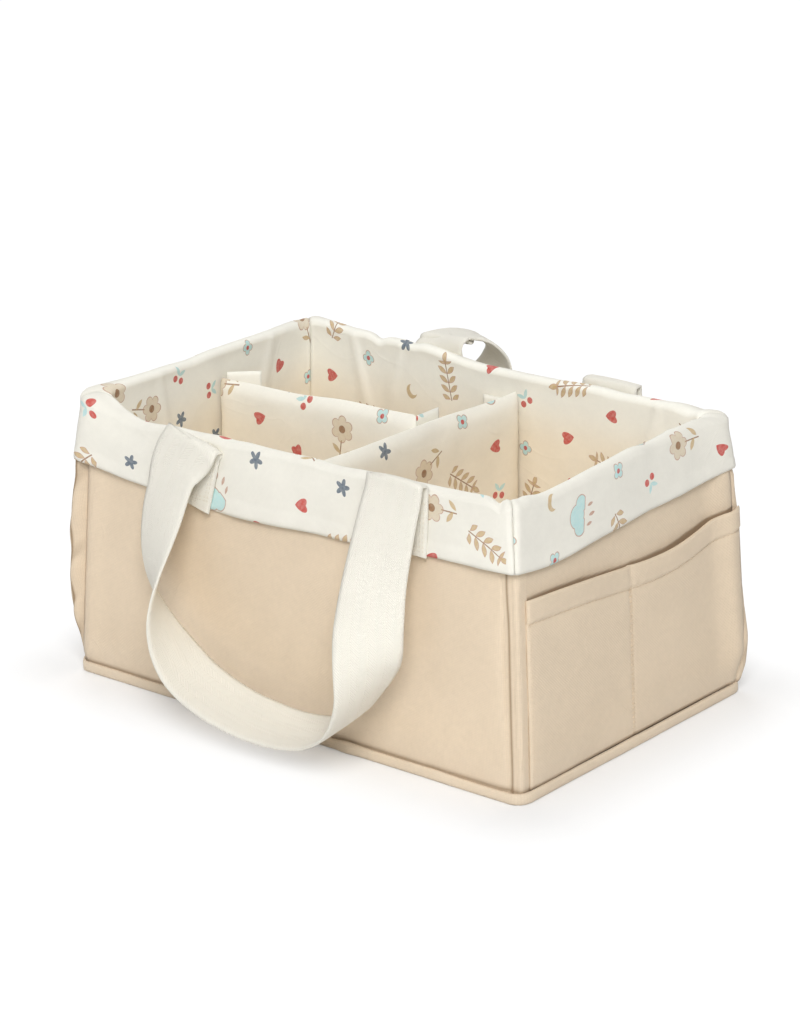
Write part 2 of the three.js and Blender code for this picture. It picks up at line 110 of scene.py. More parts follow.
def math_in(tree):
    """A function that adds one math node to a tree and gives its output."""
    def add(operation, a, b=None, c=None, clamp=False):
        node = tree.nodes.new("ShaderNodeMath")
        node.operation = operation
        node.use_clamp = clamp
        for socket, value in zip(node.inputs, (a, b, c)):
            joined(tree, socket, value)
        return node.outputs[0]
    return add


def mix_in(tree):
    """A function that mixes two colours by a factor and gives its output."""
    def add(factor, a, b, blend_type="MIX"):
        node = tree.nodes.new("ShaderNodeMix")
        node.data_type = "RGBA"
        node.blend_type = blend_type
        joined(tree, node.inputs["Factor"], factor)
        joined(tree, node.inputs[6], a)
        joined(tree, node.inputs[7], b)
        return node.outputs[2]
    return add


def fed(tree, node, **values):
    """Feed a node's inputs by name, with an underscore for a blank, and give the node back."""
    for label, value in values.items():
        joined(tree, node.inputs[label.replace("_", " ")], value)
    return node


print("helpers:", [helper.__name__ for helper in (joined, math_in, mix_in, fed)])

# %% Nodes that are used often
def noise_in(tree, vector, scale, detail=2.0, roughness=0.5, distortion=0.0):
    node = fed(tree, tree.nodes.new("ShaderNodeTexNoise"), Vector=vector, Scale=scale, Detail=detail,
               Roughness=roughness, Distortion=distortion)
    return node.outputs["Fac"]


def smooth_step_in(tree, value, low, high, at_low, at_high):
    """Go smoothly from one output to another while the value goes from low to high."""
    node = tree.nodes.new("ShaderNodeMapRange")
    node.interpolation_type = "SMOOTHSTEP"
    for socket, given in zip(node.inputs, (value, low, high, at_low, at_high)):
        joined(tree, socket, given)
    return node.outputs[0]


def bump_in(tree, height, strength, distance, normal=None):
    """A bump of a distance in metres, laid over another normal if there is one."""
    node = fed(tree, tree.nodes.new("ShaderNodeBump"), Strength=strength, Distance=distance, Height=height,
               Normal=normal)
    return node.outputs[0]


def split_in(tree, vector):
    """The X, Y and Z outputs of a vector."""
    return fed(tree, tree.nodes.new("ShaderNodeSeparateXYZ"), Vector=vector).outputs


def looked_at(tree):
    """1 for the rays that show a thing to the camera, straight, in a mirror or through glass, else 0."""
    rays, m = tree.nodes.new("ShaderNodeLightPath").outputs, math_in(tree)
    beyond = m("MAXIMUM", rays["Is Glossy Ray"], rays["Is Transmission Ray"])
    return m("MAXIMUM", rays["Is Camera Ray"], beyond)


print("helpers:", [helper.__name__ for helper in (noise_in, smooth_step_in, bump_in, split_in, looked_at)])

# %% Node groups
def new_group(name, inputs, outputs):
    """A shader node group with named sockets, given as (name, kind, default) and (name, kind)."""
    tree = bpy.data.node_groups.new(name, "ShaderNodeTree")
    for label, kind, default in inputs:
        socket = tree.interface.new_socket(label, in_out="INPUT", socket_type=kind)
        if default is not None:
            socket.default_value = default
    for label, kind in outputs:
        tree.interface.new_socket(label, in_out="OUTPUT", socket_type=kind)
    return tree, tree.nodes.new("NodeGroupInput"), tree.nodes.new("NodeGroupOutput")


def use_group(tree, group, **values):
    node = tree.nodes.new("ShaderNodeGroup")
    node.node_tree = group
    return fed(tree, node, **values)


NUMBER, COLOUR, VECTOR = "NodeSocketFloat", "NodeSocketColor", "NodeSocketVector"
print("kinds of socket:", [NUMBER, COLOUR, VECTOR])

# %% [markdown]
# ## Weave
# Canvas, lining and tape are plain weave: each thread goes over and under its neighbours. Two sine waves set
# at right angles, with their signs crossed like a chessboard, give the little hills of the threads. The group
# reads a coordinate in metres, so one thread pitch suits each cloth, and gives a height for the bump and a
# tint for the shade between the threads. A slow noise makes some threads thicker, as in real cotton.

# %% Weave group
def weave_group():
    tree, given, out = new_group(
        "plain weave",
        [("Place", VECTOR, None), ("Pitch", NUMBER, 0.001), ("Slub", NUMBER, 0.3)],
        [("Height", NUMBER), ("Tint", NUMBER)],
    )
    m = math_in(tree)
    place = given.outputs["Place"]
    turns = m("DIVIDE", math.pi, given.outputs["Pitch"])
    u, v, _ = split_in(tree, place)
    crossing = m("MULTIPLY", m("SINE", m("MULTIPLY", u, turns)), m("SINE", m("MULTIPLY", v, turns)))
    hills = m("MULTIPLY_ADD", crossing, 0.5, 0.5)
    ridges = m("ABSOLUTE", crossing)
    thread = noise_in(tree, place, 260.0, 1.0)
    uneven = m("MULTIPLY", m("SUBTRACT", thread, 0.5), given.outputs["Slub"])
    height = m("ADD", m("MULTIPLY", m("ADD", hills, ridges), 0.5), uneven)
    tree.links.new(height, out.inputs["Height"])
    tree.links.new(m("ADD", m("MULTIPLY", ridges, 0.35), m("ADD", uneven, 0.8)), out.inputs["Tint"])
    return tree


WEAVE = weave_group()
print("made the group", WEAVE.name)

# %% [markdown]
# Webbing is a heavy herringbone: short ribs that lean one way in one band and the other way in the next. A
# sawtooth of the width folds the lean over from band to band.

# %% Webbing group
def webbing_group():
    tree, given, out = new_group(
        "herringbone",
        [("Place", VECTOR, None), ("Band", NUMBER, 0.0055), ("Rib", NUMBER, 0.0016)],
        [("Height", NUMBER), ("Tint", NUMBER)],
    )
    m = math_in(tree)
    place = given.outputs["Place"]
    u, v, _ = split_in(tree, place)
    lean = m("PINGPONG", u, given.outputs["Band"])
    along = m("ADD", v, lean)
    ribs = m("SINE", m("MULTIPLY", along, m("DIVIDE", 2 * math.pi, given.outputs["Rib"])))
    edge = m("ABSOLUTE", m("SUBTRACT", m("DIVIDE", lean, given.outputs["Band"]), 0.5))
    ditch = m("MULTIPLY", m("SUBTRACT", edge, 0.42, clamp=True), 6.0)
    fuzz = noise_in(tree, place, 900.0, 1.0)
    height = m("SUBTRACT", m("MULTIPLY_ADD", ribs, 0.5, 0.5), ditch)
    tree.links.new(m("ADD", height, m("MULTIPLY", fuzz, 0.3)), out.inputs["Height"])
    # The tint is painted shade: darker in the troughs of the ribs and in the ditches between the bands
    tree.links.new(m("MULTIPLY_ADD", height, 0.12, 0.9), out.inputs["Tint"])
    return tree


WEBBING = webbing_group()
print("made the group", WEBBING.name)

# %% [markdown]
# ## Handling marks
# Cloth that has been cut, sewn and packed is never one flat tone. Broad clouds of slightly warmer and cooler
# colour, faint creases from folding and a little dust low down near the foot are shared by every fabric.
# Creases come from a stretched noise, where its middle value makes thin lines.

# %% Handling group
def handling_group():
    tree, given, out = new_group(
        "handling marks",
        [("Place", VECTOR, None), ("Strength", NUMBER, 1.0), ("Dust height", NUMBER, 0.03)],
        [("Tone", NUMBER), ("Crease", NUMBER), ("Dust", NUMBER)],
    )
    m = math_in(tree)
    place, strength = given.outputs["Place"], given.outputs["Strength"]
    clouds = noise_in(tree, place, 9.0, 3.0)
    fine = noise_in(tree, place, 55.0, 3.0, 0.6)
    clouded = m("MULTIPLY", m("SUBTRACT", clouds, 0.5), 0.16)
    speckled = m("MULTIPLY", m("SUBTRACT", fine, 0.5), 0.07)
    tree.links.new(m("MULTIPLY", m("ADD", clouded, speckled), strength), out.inputs["Tone"])
    bent = noise_in(tree, place, 14.0, 1.0, 0.5, 1.2)
    line = m("SUBTRACT", 1.0, m("MULTIPLY", m("ABSOLUTE", m("SUBTRACT", bent, 0.5)), 22.0), clamp=True)
    soft = noise_in(tree, place, 24.0, 2.0)
    crease = m("ADD", m("MULTIPLY", m("POWER", line, 2.0), 0.07), soft)
    tree.links.new(m("MULTIPLY", crease, strength), out.inputs["Crease"])
    height = split_in(tree, tree.nodes.new("ShaderNodeTexCoord").outputs["Object"])["Z"]
    low = m("SUBTRACT", 1.0, m("DIVIDE", height, given.outputs["Dust height"]), clamp=True)
    tree.links.new(m("MULTIPLY", low, m("MULTIPLY", fine, 0.3)), out.inputs["Dust"])
    return tree


HANDLING = handling_group()
print("made the group", HANDLING.name)

# %% [markdown]
# ## The lining's print
# The lining carries a small tossed print in soft nursery colours. The design here is a plain one of its own:
# flowers, clouds with drops and leaf sprigs as the large motifs, and hearts, stars, moons, pairs of berries
# and buds as the small ones. Each cell of a staggered grid holds one motif, pushed and turned by a seeded
# random number, and a motif is a distance: the colour is filled in where the distance is below zero and a
# drawn outline follows its edge.

# %% Tools for motifs
class MotifTools:
    """Outlines and fills for the print: small functions on the two coordinates of a cell, in millimetres."""

    def __init__(self, tree):
        self.m = math_in(tree)

    def disc(self, x, y, cx, cy, radius):
        dx, dy = self.m("SUBTRACT", x, cx), self.m("SUBTRACT", y, cy)
        squares = self.m("ADD", self.m("MULTIPLY", dx, dx), self.m("MULTIPLY", dy, dy))
        return self.m("SUBTRACT", self.m("SQRT", squares), radius)

    def petals(self, x, y, count, radius, depth, sharp=1.0):
        wave = self.m("COSINE", self.m("MULTIPLY", self.m("ARCTAN2", x, y), count / 2))
        lobe = self.m("POWER", self.m("ABSOLUTE", wave), sharp)
        edge = self.m("MULTIPLY_ADD", lobe, radius * depth, radius * (1 - depth))
        return self.m("SUBTRACT", self.disc(x, y, 0.0, 0.0, 0.0), edge)

    def leaf(self, x, y, cx, cy, angle, half, width):
        ca, sa = math.cos(angle), math.sin(angle)
        dx, dy = self.m("SUBTRACT", x, cx), self.m("SUBTRACT", y, cy)
        aside = self.m("ABSOLUTE", self.m("SUBTRACT", self.m("MULTIPLY", dx, ca), self.m("MULTIPLY", dy, sa)))
        along = self.m("ADD", self.m("MULTIPLY", dx, sa), self.m("MULTIPLY", dy, ca))
        reach = self.m("DIVIDE", along, half)
        edge = self.m("MULTIPLY_ADD", self.m("MULTIPLY", reach, reach), -width, width)
        return self.m("SUBTRACT", aside, edge)

    def inside(self, distance, soft=0.12):
        return self.m("SUBTRACT", 0.5, self.m("DIVIDE", distance, soft), clamp=True)

    def line(self, distance, thickness):
        return self.inside(self.m("SUBTRACT", self.m("ABSOLUTE", distance), thickness))


# Inks of the print
OUTLINE, TAN, BROWN = (0.56, 0.34, 0.25, 1), (0.62, 0.45, 0.24, 1), (0.33, 0.17, 0.08, 1)
RED, AQUA, NAVY = (0.60, 0.06, 0.045, 1), (0.52, 0.76, 0.75, 1), (0.11, 0.15, 0.2, 1)
print("inks:", len([OUTLINE, TAN, BROWN, RED, AQUA, NAVY]))

# %% [markdown]
# Each motif is given its share of the random numbers. It paints itself on the colours made so far, first its
# fills and then its outline.

# %% Large motifs
def large_motifs(tools, x, y, among, paint):
    m, disc, petals = tools.m, tools.disc, tools.petals
    leaf, inside, line = tools.leaf, tools.inside, tools.line
    # A flower with a stem and two leaves
    flower = among(-1.0, 0.34)
    yf = m("SUBTRACT", y, 4.0)
    bloom = petals(x, yf, 6, 7.2, 0.32, 0.7)
    stalk = inside(m("SUBTRACT", m("ABSOLUTE", m("ADD", x, m("MULTIPLY", y, 0.08))), 0.35))
    stem = m("MULTIPLY", stalk, m("MULTIPLY", m("LESS_THAN", y, -2.0), m("GREATER_THAN", y, -12.5)))
    blades = m("MINIMUM", leaf(x, y, 3.2, -7.0, 0.9, 3.6, 1.3), leaf(x, y, -3.0, -9.0, -0.9, 3.4, 1.2))
    paint(flower, stem, BROWN)
    paint(flower, inside(blades), TAN)
    paint(flower, m("MULTIPLY", inside(bloom), 0.55), TAN)
    paint(flower, line(bloom, 0.24), OUTLINE)
    paint(flower, inside(disc(x, yf, 0.0, 0.0, 2.1)), BROWN)
    # A cloud with three drops under it
    cloud = among(0.34, 0.62)
    puffs = m("MINIMUM", disc(x, y, -5.2, 2.0, 4.2), disc(x, y, 5.0, 2.2, 4.4))
    puffs = m("MINIMUM", puffs, disc(x, y, 0.2, 4.8, 5.6))
    puffs = m("MAXIMUM", puffs, m("SUBTRACT", -1.2, y))
    drops = m("MINIMUM", leaf(x, y, -4.2, -5.4, 0.25, 2.2, 0.8), leaf(x, y, 0.4, -7.0, 0.25, 2.4, 0.9))
    drops = m("MINIMUM", drops, leaf(x, y, 4.8, -5.2, 0.25, 2.2, 0.8))
    paint(cloud, inside(puffs), AQUA)
    paint(cloud, line(puffs, 0.26), OUTLINE)
    paint(cloud, inside(drops), OUTLINE)
    # A sprig of paired leaves
    sprig = among(0.62, 2.0)
    side = m("ABSOLUTE", x)
    spine = m("MULTIPLY", inside(m("SUBTRACT", side, 0.32)), m("LESS_THAN", m("ABSOLUTE", y), 11.0))
    step = m("SUBTRACT", m("FLOORED_MODULO", m("ADD", y, 12.5), 5.0), 2.5)
    pairs = m("MAXIMUM", leaf(side, step, 3.1, 0.6, 0.95, 3.3, 1.25), m("SUBTRACT", m("ABSOLUTE", y), 10.2))
    leaves = m("MINIMUM", pairs, leaf(x, y, 0.0, 12.0, 0.0, 3.2, 1.3))
    paint(sprig, spine, BROWN)
    paint(sprig, inside(leaves), TAN)
    paint(sprig, line(leaves, 0.16), OUTLINE)


print("large motifs: flower, cloud and sprig")

# %% Small motifs
def small_motifs(tools, x, y, among, paint):
    m, disc, petals = tools.m, tools.disc, tools.petals
    leaf, inside, line = tools.leaf, tools.inside, tools.line
    side = m("ABSOLUTE", x)
    heart = disc(side, m("SUBTRACT", y, m("MULTIPLY", side, 0.72)), 0.0, -0.4, 2.5)
    paint(among(-1.0, 0.24), inside(heart), RED)
    star = petals(x, y, 5, 3.3, 0.55, 1.6)
    paint(among(0.24, 0.44), inside(star), NAVY)
    moon = m("MAXIMUM", disc(x, y, 0.0, 0.0, 2.9), m("SUBTRACT", 0.0, disc(x, y, 1.5, 0.8, 2.5)))
    paint(among(0.44, 0.6), inside(moon), TAN)
    berries = among(0.6, 0.78)
    paint(berries, inside(disc(side, y, 1.9, -1.2, 1.35)), RED)
    paint(berries, inside(leaf(side, y, 1.3, 1.9, 0.8, 2.2, 0.8)), AQUA)
    buds, bud = among(0.78, 0.93), petals(x, y, 4, 3.0, 0.45, 0.8)
    paint(buds, inside(bud), AQUA)
    paint(buds, line(bud, 0.18), OUTLINE)
    paint(buds, inside(disc(x, y, 0.0, 0.0, 0.9)), RED)


print("small motifs: heart, star, moon, berries and bud")

# %% [markdown]
# The group itself finds the cell, its random numbers and the place within it. Every third cell on a slant
# takes a large motif, and the small ones are drawn a little bigger in theirs. A fine noise leaves the ink
# patchy, as on printed cotton.

# %% Print group
def print_group():
    tree, given, out = new_group(
        "tossed print",
        [("Place", VECTOR, None), ("Cell", NUMBER, 0.037), ("Ground", COLOUR, (0.9, 0.87, 0.78, 1.0))],
        [("Colour", COLOUR)],
    )
    tools, m, mix = MotifTools(tree), math_in(tree), mix_in(tree)
    place, pitch = given.outputs["Place"], given.outputs["Cell"]
    u, v, _ = split_in(tree, place)
    across = m("DIVIDE", u, pitch)
    column = m("FLOOR", across)
    odd = m("MULTIPLY", m("FLOORED_MODULO", column, 2.0), 0.5)
    up = m("ADD", m("DIVIDE", v, pitch), odd)
    row = m("FLOOR", up)
    cell = fed(tree, tree.nodes.new("ShaderNodeCombineXYZ"), X=column, Y=row).outputs[0]

    def chance(salt):
        node = tree.nodes.new("ShaderNodeTexWhiteNoise")
        node.noise_dimensions = "4D"
        return fed(tree, node, Vector=cell, W=salt).outputs["Value"]

    size = m("MULTIPLY", pitch, 1 / MM)

    def from_middle(coordinate, salt):
        push = m("MULTIPLY_ADD", chance(salt), 0.2, -0.1)
        return m("MULTIPLY", m("SUBTRACT", m("SUBTRACT", m("FRACT", coordinate), 0.5), push), size)

    x0, y0 = from_middle(across, 1.0), from_middle(up, 2.0)
    turn = m("MULTIPLY_ADD", chance(3.0), 4.4, -2.2)
    cosine, sine = m("COSINE", turn), m("SINE", turn)
    large = m("COMPARE", m("FLOORED_MODULO", m("ADD", column, m("MULTIPLY", row, 2.0)), 3.0), 0.0, 0.5)
    small = m("SUBTRACT", 1.0, large)
    shrink = m("MULTIPLY_ADD", small, -0.2, 0.76)
    x = m("MULTIPLY", m("SUBTRACT", m("MULTIPLY", x0, cosine), m("MULTIPLY", y0, sine)), shrink)
    y = m("MULTIPLY", m("ADD", m("MULTIPLY", x0, sine), m("MULTIPLY", y0, cosine)), shrink)
    patchy = m("MULTIPLY_ADD", noise_in(tree, place, 420.0, 2.0), 0.5, 0.62, clamp=True)
    pick = chance(4.0)
    colour = given.outputs["Ground"]

    def chooser(kind):
        """A function that gives 1 in the cells of a kind whose random pick lies between two numbers."""
        def among(low, high):
            picked = m("MULTIPLY", m("GREATER_THAN", pick, low), m("LESS_THAN", pick, high))
            return m("MULTIPLY", kind, picked)
        return among

    def paint(kind, mask, ink):
        nonlocal colour
        colour = mix(m("MULTIPLY", m("MULTIPLY", kind, mask), patchy), colour, ink)

    large_motifs(tools, x, y, chooser(large), paint)
    small_motifs(tools, x, y, chooser(small), paint)
    tree.links.new(colour, out.inputs["Colour"])
    return tree


PRINT = print_group()
print("node groups:", [group.name for group in (WEAVE, WEBBING, HANDLING, PRINT)])

# %% [markdown]
# ## Cloth materials
# Every fabric is a rough Principled surface with a little sheen, as short fibres catch light at the edge. Its
# colour is the dye, shaded by the weave and the handling marks, with painted light and shade where it is
# marked.
# All cloth has a UV map in metres, drawn along its threads, so the weave turns with the cloth at a corner or
# a fold.

# %% Cloth materials
# Painted light on the lining inside the basket, lighter at the rim and warmer deep down; painted shade on the
# canvas down in a ditch; and the colour of the dust
RIM_PAINTED_LIGHT, INNER_PAINTED_LIGHT = (0.98, 0.96, 0.87, 1), (0.945, 0.85, 0.69, 1)
DITCH_PAINTED_SHADE, DUST_DYE = (0.34, 0.235, 0.14, 1), (0.62, 0.58, 0.52, 1)
# Heights in metres between which the lining's painted light goes from its deep colour to its rim's
RIM_SHADE = (0.145, 0.187)


def finish_cloth(name, base, place_from_uv, pattern, bump, printed=False, marks=1.0, deep=None):
    """A fabric from its dye, a pattern group with its inputs, a bump in metres, perhaps the print, and the
    strength of its handling marks. deep is a pair of painted light and shade colours for marked points: high
    and low."""
    material = bpy.data.materials.new(name)
    material.use_nodes = True
    tree = material.node_tree
    shader = tree.nodes["Principled BSDF"]
    m, mix = math_in(tree), mix_in(tree)
    coordinates = tree.nodes.new("ShaderNodeTexCoord")
    flat = coordinates.outputs["UV" if place_from_uv else "Object"]
    solid = coordinates.outputs["Object"]
    threads = use_group(tree, pattern[0], Place=flat, **pattern[1])
    handled = use_group(tree, HANDLING, Place=solid, Strength=marks)
    colour = base
    if deep:
        # Painted light and shade: a marked point goes over from its dye to the painted colour for its height
        inner = tree.nodes.new("ShaderNodeAttribute")
        inner.attribute_name = "inner"
        sunk = smooth_step_in(tree, split_in(tree, solid)["Z"], *RIM_SHADE, 1.0, 0.0)
        colour = mix(inner.outputs["Fac"], base, mix(sunk, *deep))
    if printed:
        colour = use_group(tree, PRINT, Place=flat, Ground=colour).outputs["Colour"]
    tint = m("ADD", m("MULTIPLY_ADD", threads.outputs["Tint"], 0.22, 0.78), handled.outputs["Tone"])
    shade = fed(tree, tree.nodes.new("ShaderNodeCombineColor"), Red=tint, Green=tint, Blue=tint)
    dyed = mix(1.0, colour, shade.outputs[0], "MULTIPLY")
    fed(tree, shader,
        Base_Color=mix(handled.outputs["Dust"], dyed, DUST_DYE),
        Roughness=m("ADD", m("MULTIPLY", threads.outputs["Height"], 0.06), 0.87),
        Sheen_Weight=0.12, Sheen_Roughness=0.5, Specular_IOR_Level=0.25,
        Normal=bump_in(tree, threads.outputs["Height"], 0.5, bump,
                       bump_in(tree, handled.outputs["Crease"], 0.35, 0.004)))
    return material


def weave(pitch, slub):
    """The plain weave with threads of a pitch in metres, uneven by a share."""
    return WEAVE, dict(Pitch=pitch, Slub=slub)


canvas = finish_cloth("sand canvas", (0.77, 0.635, 0.475, 1), True, weave(0.0011, 0.35), 0.0003,
                      deep=(DITCH_PAINTED_SHADE, DITCH_PAINTED_SHADE))
lining = finish_cloth("printed lining", (0.87, 0.845, 0.76, 1), True, weave(0.0007, 0.2), 0.00016,
                      printed=True, deep=(RIM_PAINTED_LIGHT, INNER_PAINTED_LIGHT))
webbing = finish_cloth("handle webbing", (0.87, 0.84, 0.75, 1), True, (WEBBING, {}), 0.00045, marks=0.6)
grip_tape = finish_cloth("grip tape", (0.86, 0.84, 0.76, 1), True, weave(0.0016, 0.9), 0.0007, marks=0.5)
felt = finish_cloth("felt board", (0.44, 0.37, 0.26, 1), False, weave(0.0009, 1.5), 0.0005)
sand_thread, cream_thread = [
    finish_cloth(f"{shade} thread", dye, False, weave(0.0004, 0.3), 0.0001, marks=0.3)
    for shade, dye in (("sand", (0.73, 0.59, 0.43, 1)), ("cream", (0.80, 0.75, 0.64, 1)))
]
cloths = (canvas, lining, webbing, grip_tape, felt, sand_thread, cream_thread)
print("cloth materials:", [cloth.name for cloth in cloths])

# %% [markdown]
# ## The basket's measure
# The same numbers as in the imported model: the basket leans in a little as it rises, its rim is limp and
# uneven, and the cuff's hem wanders. A wall is drawn standing on the front, facing -Y, and turned to its
# place.

# %% Sizes of the basket
BASE_LENGTH, BASE_WIDTH, HEIGHT = 376.0, 238.0, 196.0
# How far the end walls and the long walls lean in over the height
END_LEAN, SIDE_LEAN = 11.5, 7.0
# The gap between layers, and the gauges of the canvas and the lining
GAP, CLOTH, LINING = 0.3, 1.6, 2.0
# Where the lining's floor and the foot of its walls lie
FLOOR, LEAF_FOOT = 7.2, 5.2
# How far inside the wall's face the lining's leaf lies, and the radius of its roll over the rim
INSIDE, ROLL = 7.6, 4.95
RIM_SAG, CUFF_DEPTH = 8.0, 54.0


def half_length(z):
    return BASE_LENGTH / 2 - END_LEAN * z / HEIGHT


def half_width(z):
    return BASE_WIDTH / 2 - SIDE_LEAN * z / HEIGHT


print("the rim measures", 2 * half_length(HEIGHT), "by", 2 * half_width(HEIGHT), "mm")

# %% [markdown]
# The four sides differ in how their rims sag and how deep their cuffs hang, so each has its own shares.

# %% Sides of the basket
class Side:
    """A side of the basket: how far out its wall stands and half its length, at a height; its turn about Z;
    and along it, from its left end, the rim's sag and the cuff's depth, in shares."""

    def __init__(self, name, reach, run, turn, rim, cuff):
        self.name, self.reach, self.run, self.turn = name, reach, run, turn
        self.rim, self.cuff = rim, cuff


FRONT = Side("front", half_width, half_length, 0.0,
             [-0.5, 1.2, 1.15, 1, 1, 1, 1, 0.9, 0.75, 0.7, 0.25],
             [0.81, 0.93, 0.98, 1.05, 1.06, 1.03, 1, 0.98, 0.93, 0.9, 0.87])
RIGHT = Side("right", half_length, half_width, math.pi / 2,
             [0.25, 0.8, 0.85, 0.6, 0.45, 0.3, 0.25, 0.1, -0.1],
             [0.87, 0.93, 0.92, 0.88, 0.85, 0.82, 0.79, 0.75, 0.72])
BACK = Side("back", half_width, half_length, math.pi,
            [-0.1, 0, 0, 0.1, 0.3, 0.25, 0, -0.5, -0.4, -0.7, -0.85],
            [0.72, 0.8, 0.85, 0.88, 0.9, 0.9, 0.88, 0.86, 0.83, 0.8, 0.76])
LEFT = Side("left", half_length, half_width, -math.pi / 2,
            [-0.85, -0.75, -0.65, -0.6, -0.6, -0.55, -0.5, -0.5, -0.5],
            [0.76, 0.82, 0.85, 0.87, 0.88, 0.88, 0.86, 0.84, 0.81])
SIDES = [FRONT, RIGHT, BACK, LEFT]
print("turns of the sides:", {side.name: round(math.degrees(side.turn)) for side in SIDES})

# %% [markdown]
# Limp cloth is never quite straight. A curve through a few shares gives its slow rise and fall, and a ripple
# of random heights its small unevenness; the seeds keep it the same each time.

# %% Curves and ripples
def spline_at(values, t):
    """A smooth curve through evenly spread values, read at shares from 0 to 1."""
    v = np.asarray(values, float)
    last = len(v) - 1
    place = np.clip(t, 0, 1) * last
    i = np.minimum(place.astype(int), last - 1)
    f = place - i
    a, b, c, d = v[np.maximum(i - 1, 0)], v[i], v[i + 1], v[np.minimum(i + 2, last)]
    return b + f * (c - a) / 2 + f**2 * (a - 2.5 * b + 2 * c - d / 2) + f**3 * (1.5 * (b - c) + (d - a) / 2)


def rim_top(side, share):
    return HEIGHT - RIM_SAG * spline_at(side.rim, (share + 1) / 2)


def cuff_hem(side, share):
    return HEIGHT - CUFF_DEPTH * spline_at(side.cuff, (share + 1) / 2)


def smooth(low, high, value):
    t = np.clip((np.asarray(value, float) - low) / (high - low), 0, 1)
    return t * t * (3 - 2 * t)


# How many heights a ripple has each way before it repeats, and where in its grid the basket's middle falls
RIPPLE_GRID, RIPPLE_START = 64, (400.37, 400.61)


def ripple(u, v, seed, size):
    """Soft bumps from -1 to 1: seeded random heights on a square grid of a size in mm, smoothed between."""
    grid = np.random.default_rng(seed).uniform(-1, 1, (RIPPLE_GRID, RIPPLE_GRID))
    a, b = (np.asarray(place, float) / size + start for place, start in zip((u, v), RIPPLE_START))
    a, b = np.broadcast_arrays(a, b)
    i, j = np.floor(a).astype(int), np.floor(b).astype(int)
    f, g = a - i, b - j
    f, g = f * f * (3 - 2 * f), g * g * (3 - 2 * g)

    def knot(p, q):
        return grid[(i + p) % RIPPLE_GRID, (j + q) % RIPPLE_GRID]

    low = knot(0, 0) * (1 - f) + knot(1, 0) * f
    high = knot(0, 1) * (1 - f) + knot(1, 1) * f
    return low * (1 - g) + high * g


def turned(points, angle):
    """Turn points about Z."""
    c, s = math.cos(angle), math.sin(angle)
    x, y, z = points[..., 0], points[..., 1], points[..., 2]
    return np.stack([x * c - y * s, x * s + y * c, z], -1)


print("rim of the front from its left end:", np.round(rim_top(FRONT, np.linspace(-1, 1, 5)), 1))

# %% [markdown]
# ## Sheets of cloth
# A piece of cloth is a grid of points for its middle, moved half its thickness each way along the surface's
# own normal and closed round its edges. Its UV map is the cloth laid flat, in metres. A rounded edge comes
# from thinning the last row and column.

# %% Linked and finished meshes
def linked(name, data):
    """A new object in the scene, with its mesh or its lamp."""
    piece = bpy.data.objects.new(name, data)
    bpy.context.scene.collection.objects.link(piece)
    return piece


def finished(name, mesh, material, slot):
    """Smooth a mesh, point its faces outwards, give it its material and link it."""
    work = bmesh.new()
    work.from_mesh(mesh)
    bmesh.ops.recalc_face_normals(work, faces=work.faces)
    work.to_mesh(mesh)
    work.free()
    mesh.polygons.foreach_set("use_smooth", [True] * len(mesh.polygons))
    mesh.materials.append(material)
    piece = linked(name, mesh)
    return piece


def corner_points(mesh):
    """The point that each corner of the faces belongs to."""
    corner = np.empty(len(mesh.loops), dtype=np.int64)
    mesh.loops.foreach_get("vertex_index", corner)
    return corner


def give_uv(mesh, flat):
    """Give a mesh its UV map in metres, from a place in mm for each corner of its faces."""
    mesh.uv_layers.new(name="UVMap").data.foreach_set("uv", (flat * MM).reshape(-1))


def running(steps):
    """From the lengths of steps, how far each place lies from the first."""
    return np.concatenate([[0], np.cumsum(steps)])


def spread_out(u, v):
    """A grid of flat places from the places of its columns and rows."""
    return np.stack(np.broadcast_arrays(u[None, :], v[:, None]), -1)


print("helpers for meshes ready")

# %% Sheets of cloth
# How much of its thickness a cloth keeps at its rounded edge
EDGE_GAUGE = 0.55


def grid_normals(middle):
    down = np.gradient(middle, axis=0)
    along = np.gradient(middle, axis=1)
    normal = np.cross(along, down)
    length = np.linalg.norm(normal, axis=-1, keepdims=True)
    return normal / np.maximum(length, 1e-9)


def laid_flat(middle):
    """The cloth's own coordinates, in mm: how far each point lies along the threads from the first."""
    along = np.linalg.norm(np.diff(middle, axis=1), axis=-1).mean(0)
    down = np.linalg.norm(np.diff(middle, axis=0), axis=-1).mean(1)
    return spread_out(running(along), running(down))


def sheet_faces(rows, columns):
    """The faces of a closed sheet: its face, its back and the rim that joins them."""
    index = np.arange(rows * columns).reshape(rows, columns)
    a, b, c, d = index[:-1, :-1], index[:-1, 1:], index[1:, 1:], index[1:, :-1]
    count = rows * columns
    front_faces = np.stack([a, d, c, b], -1).reshape(-1, 4)
    back_faces = np.stack([a, b, c, d], -1).reshape(-1, 4) + count
    loop = np.concatenate([index[0, :-1], index[:-1, -1], index[-1, :0:-1], index[:0:-1, 0]])
    following = np.roll(loop, -1)
    rim_faces = np.stack([loop, following, following + count, loop + count], -1)
    return np.concatenate([front_faces, back_faces, rim_faces])


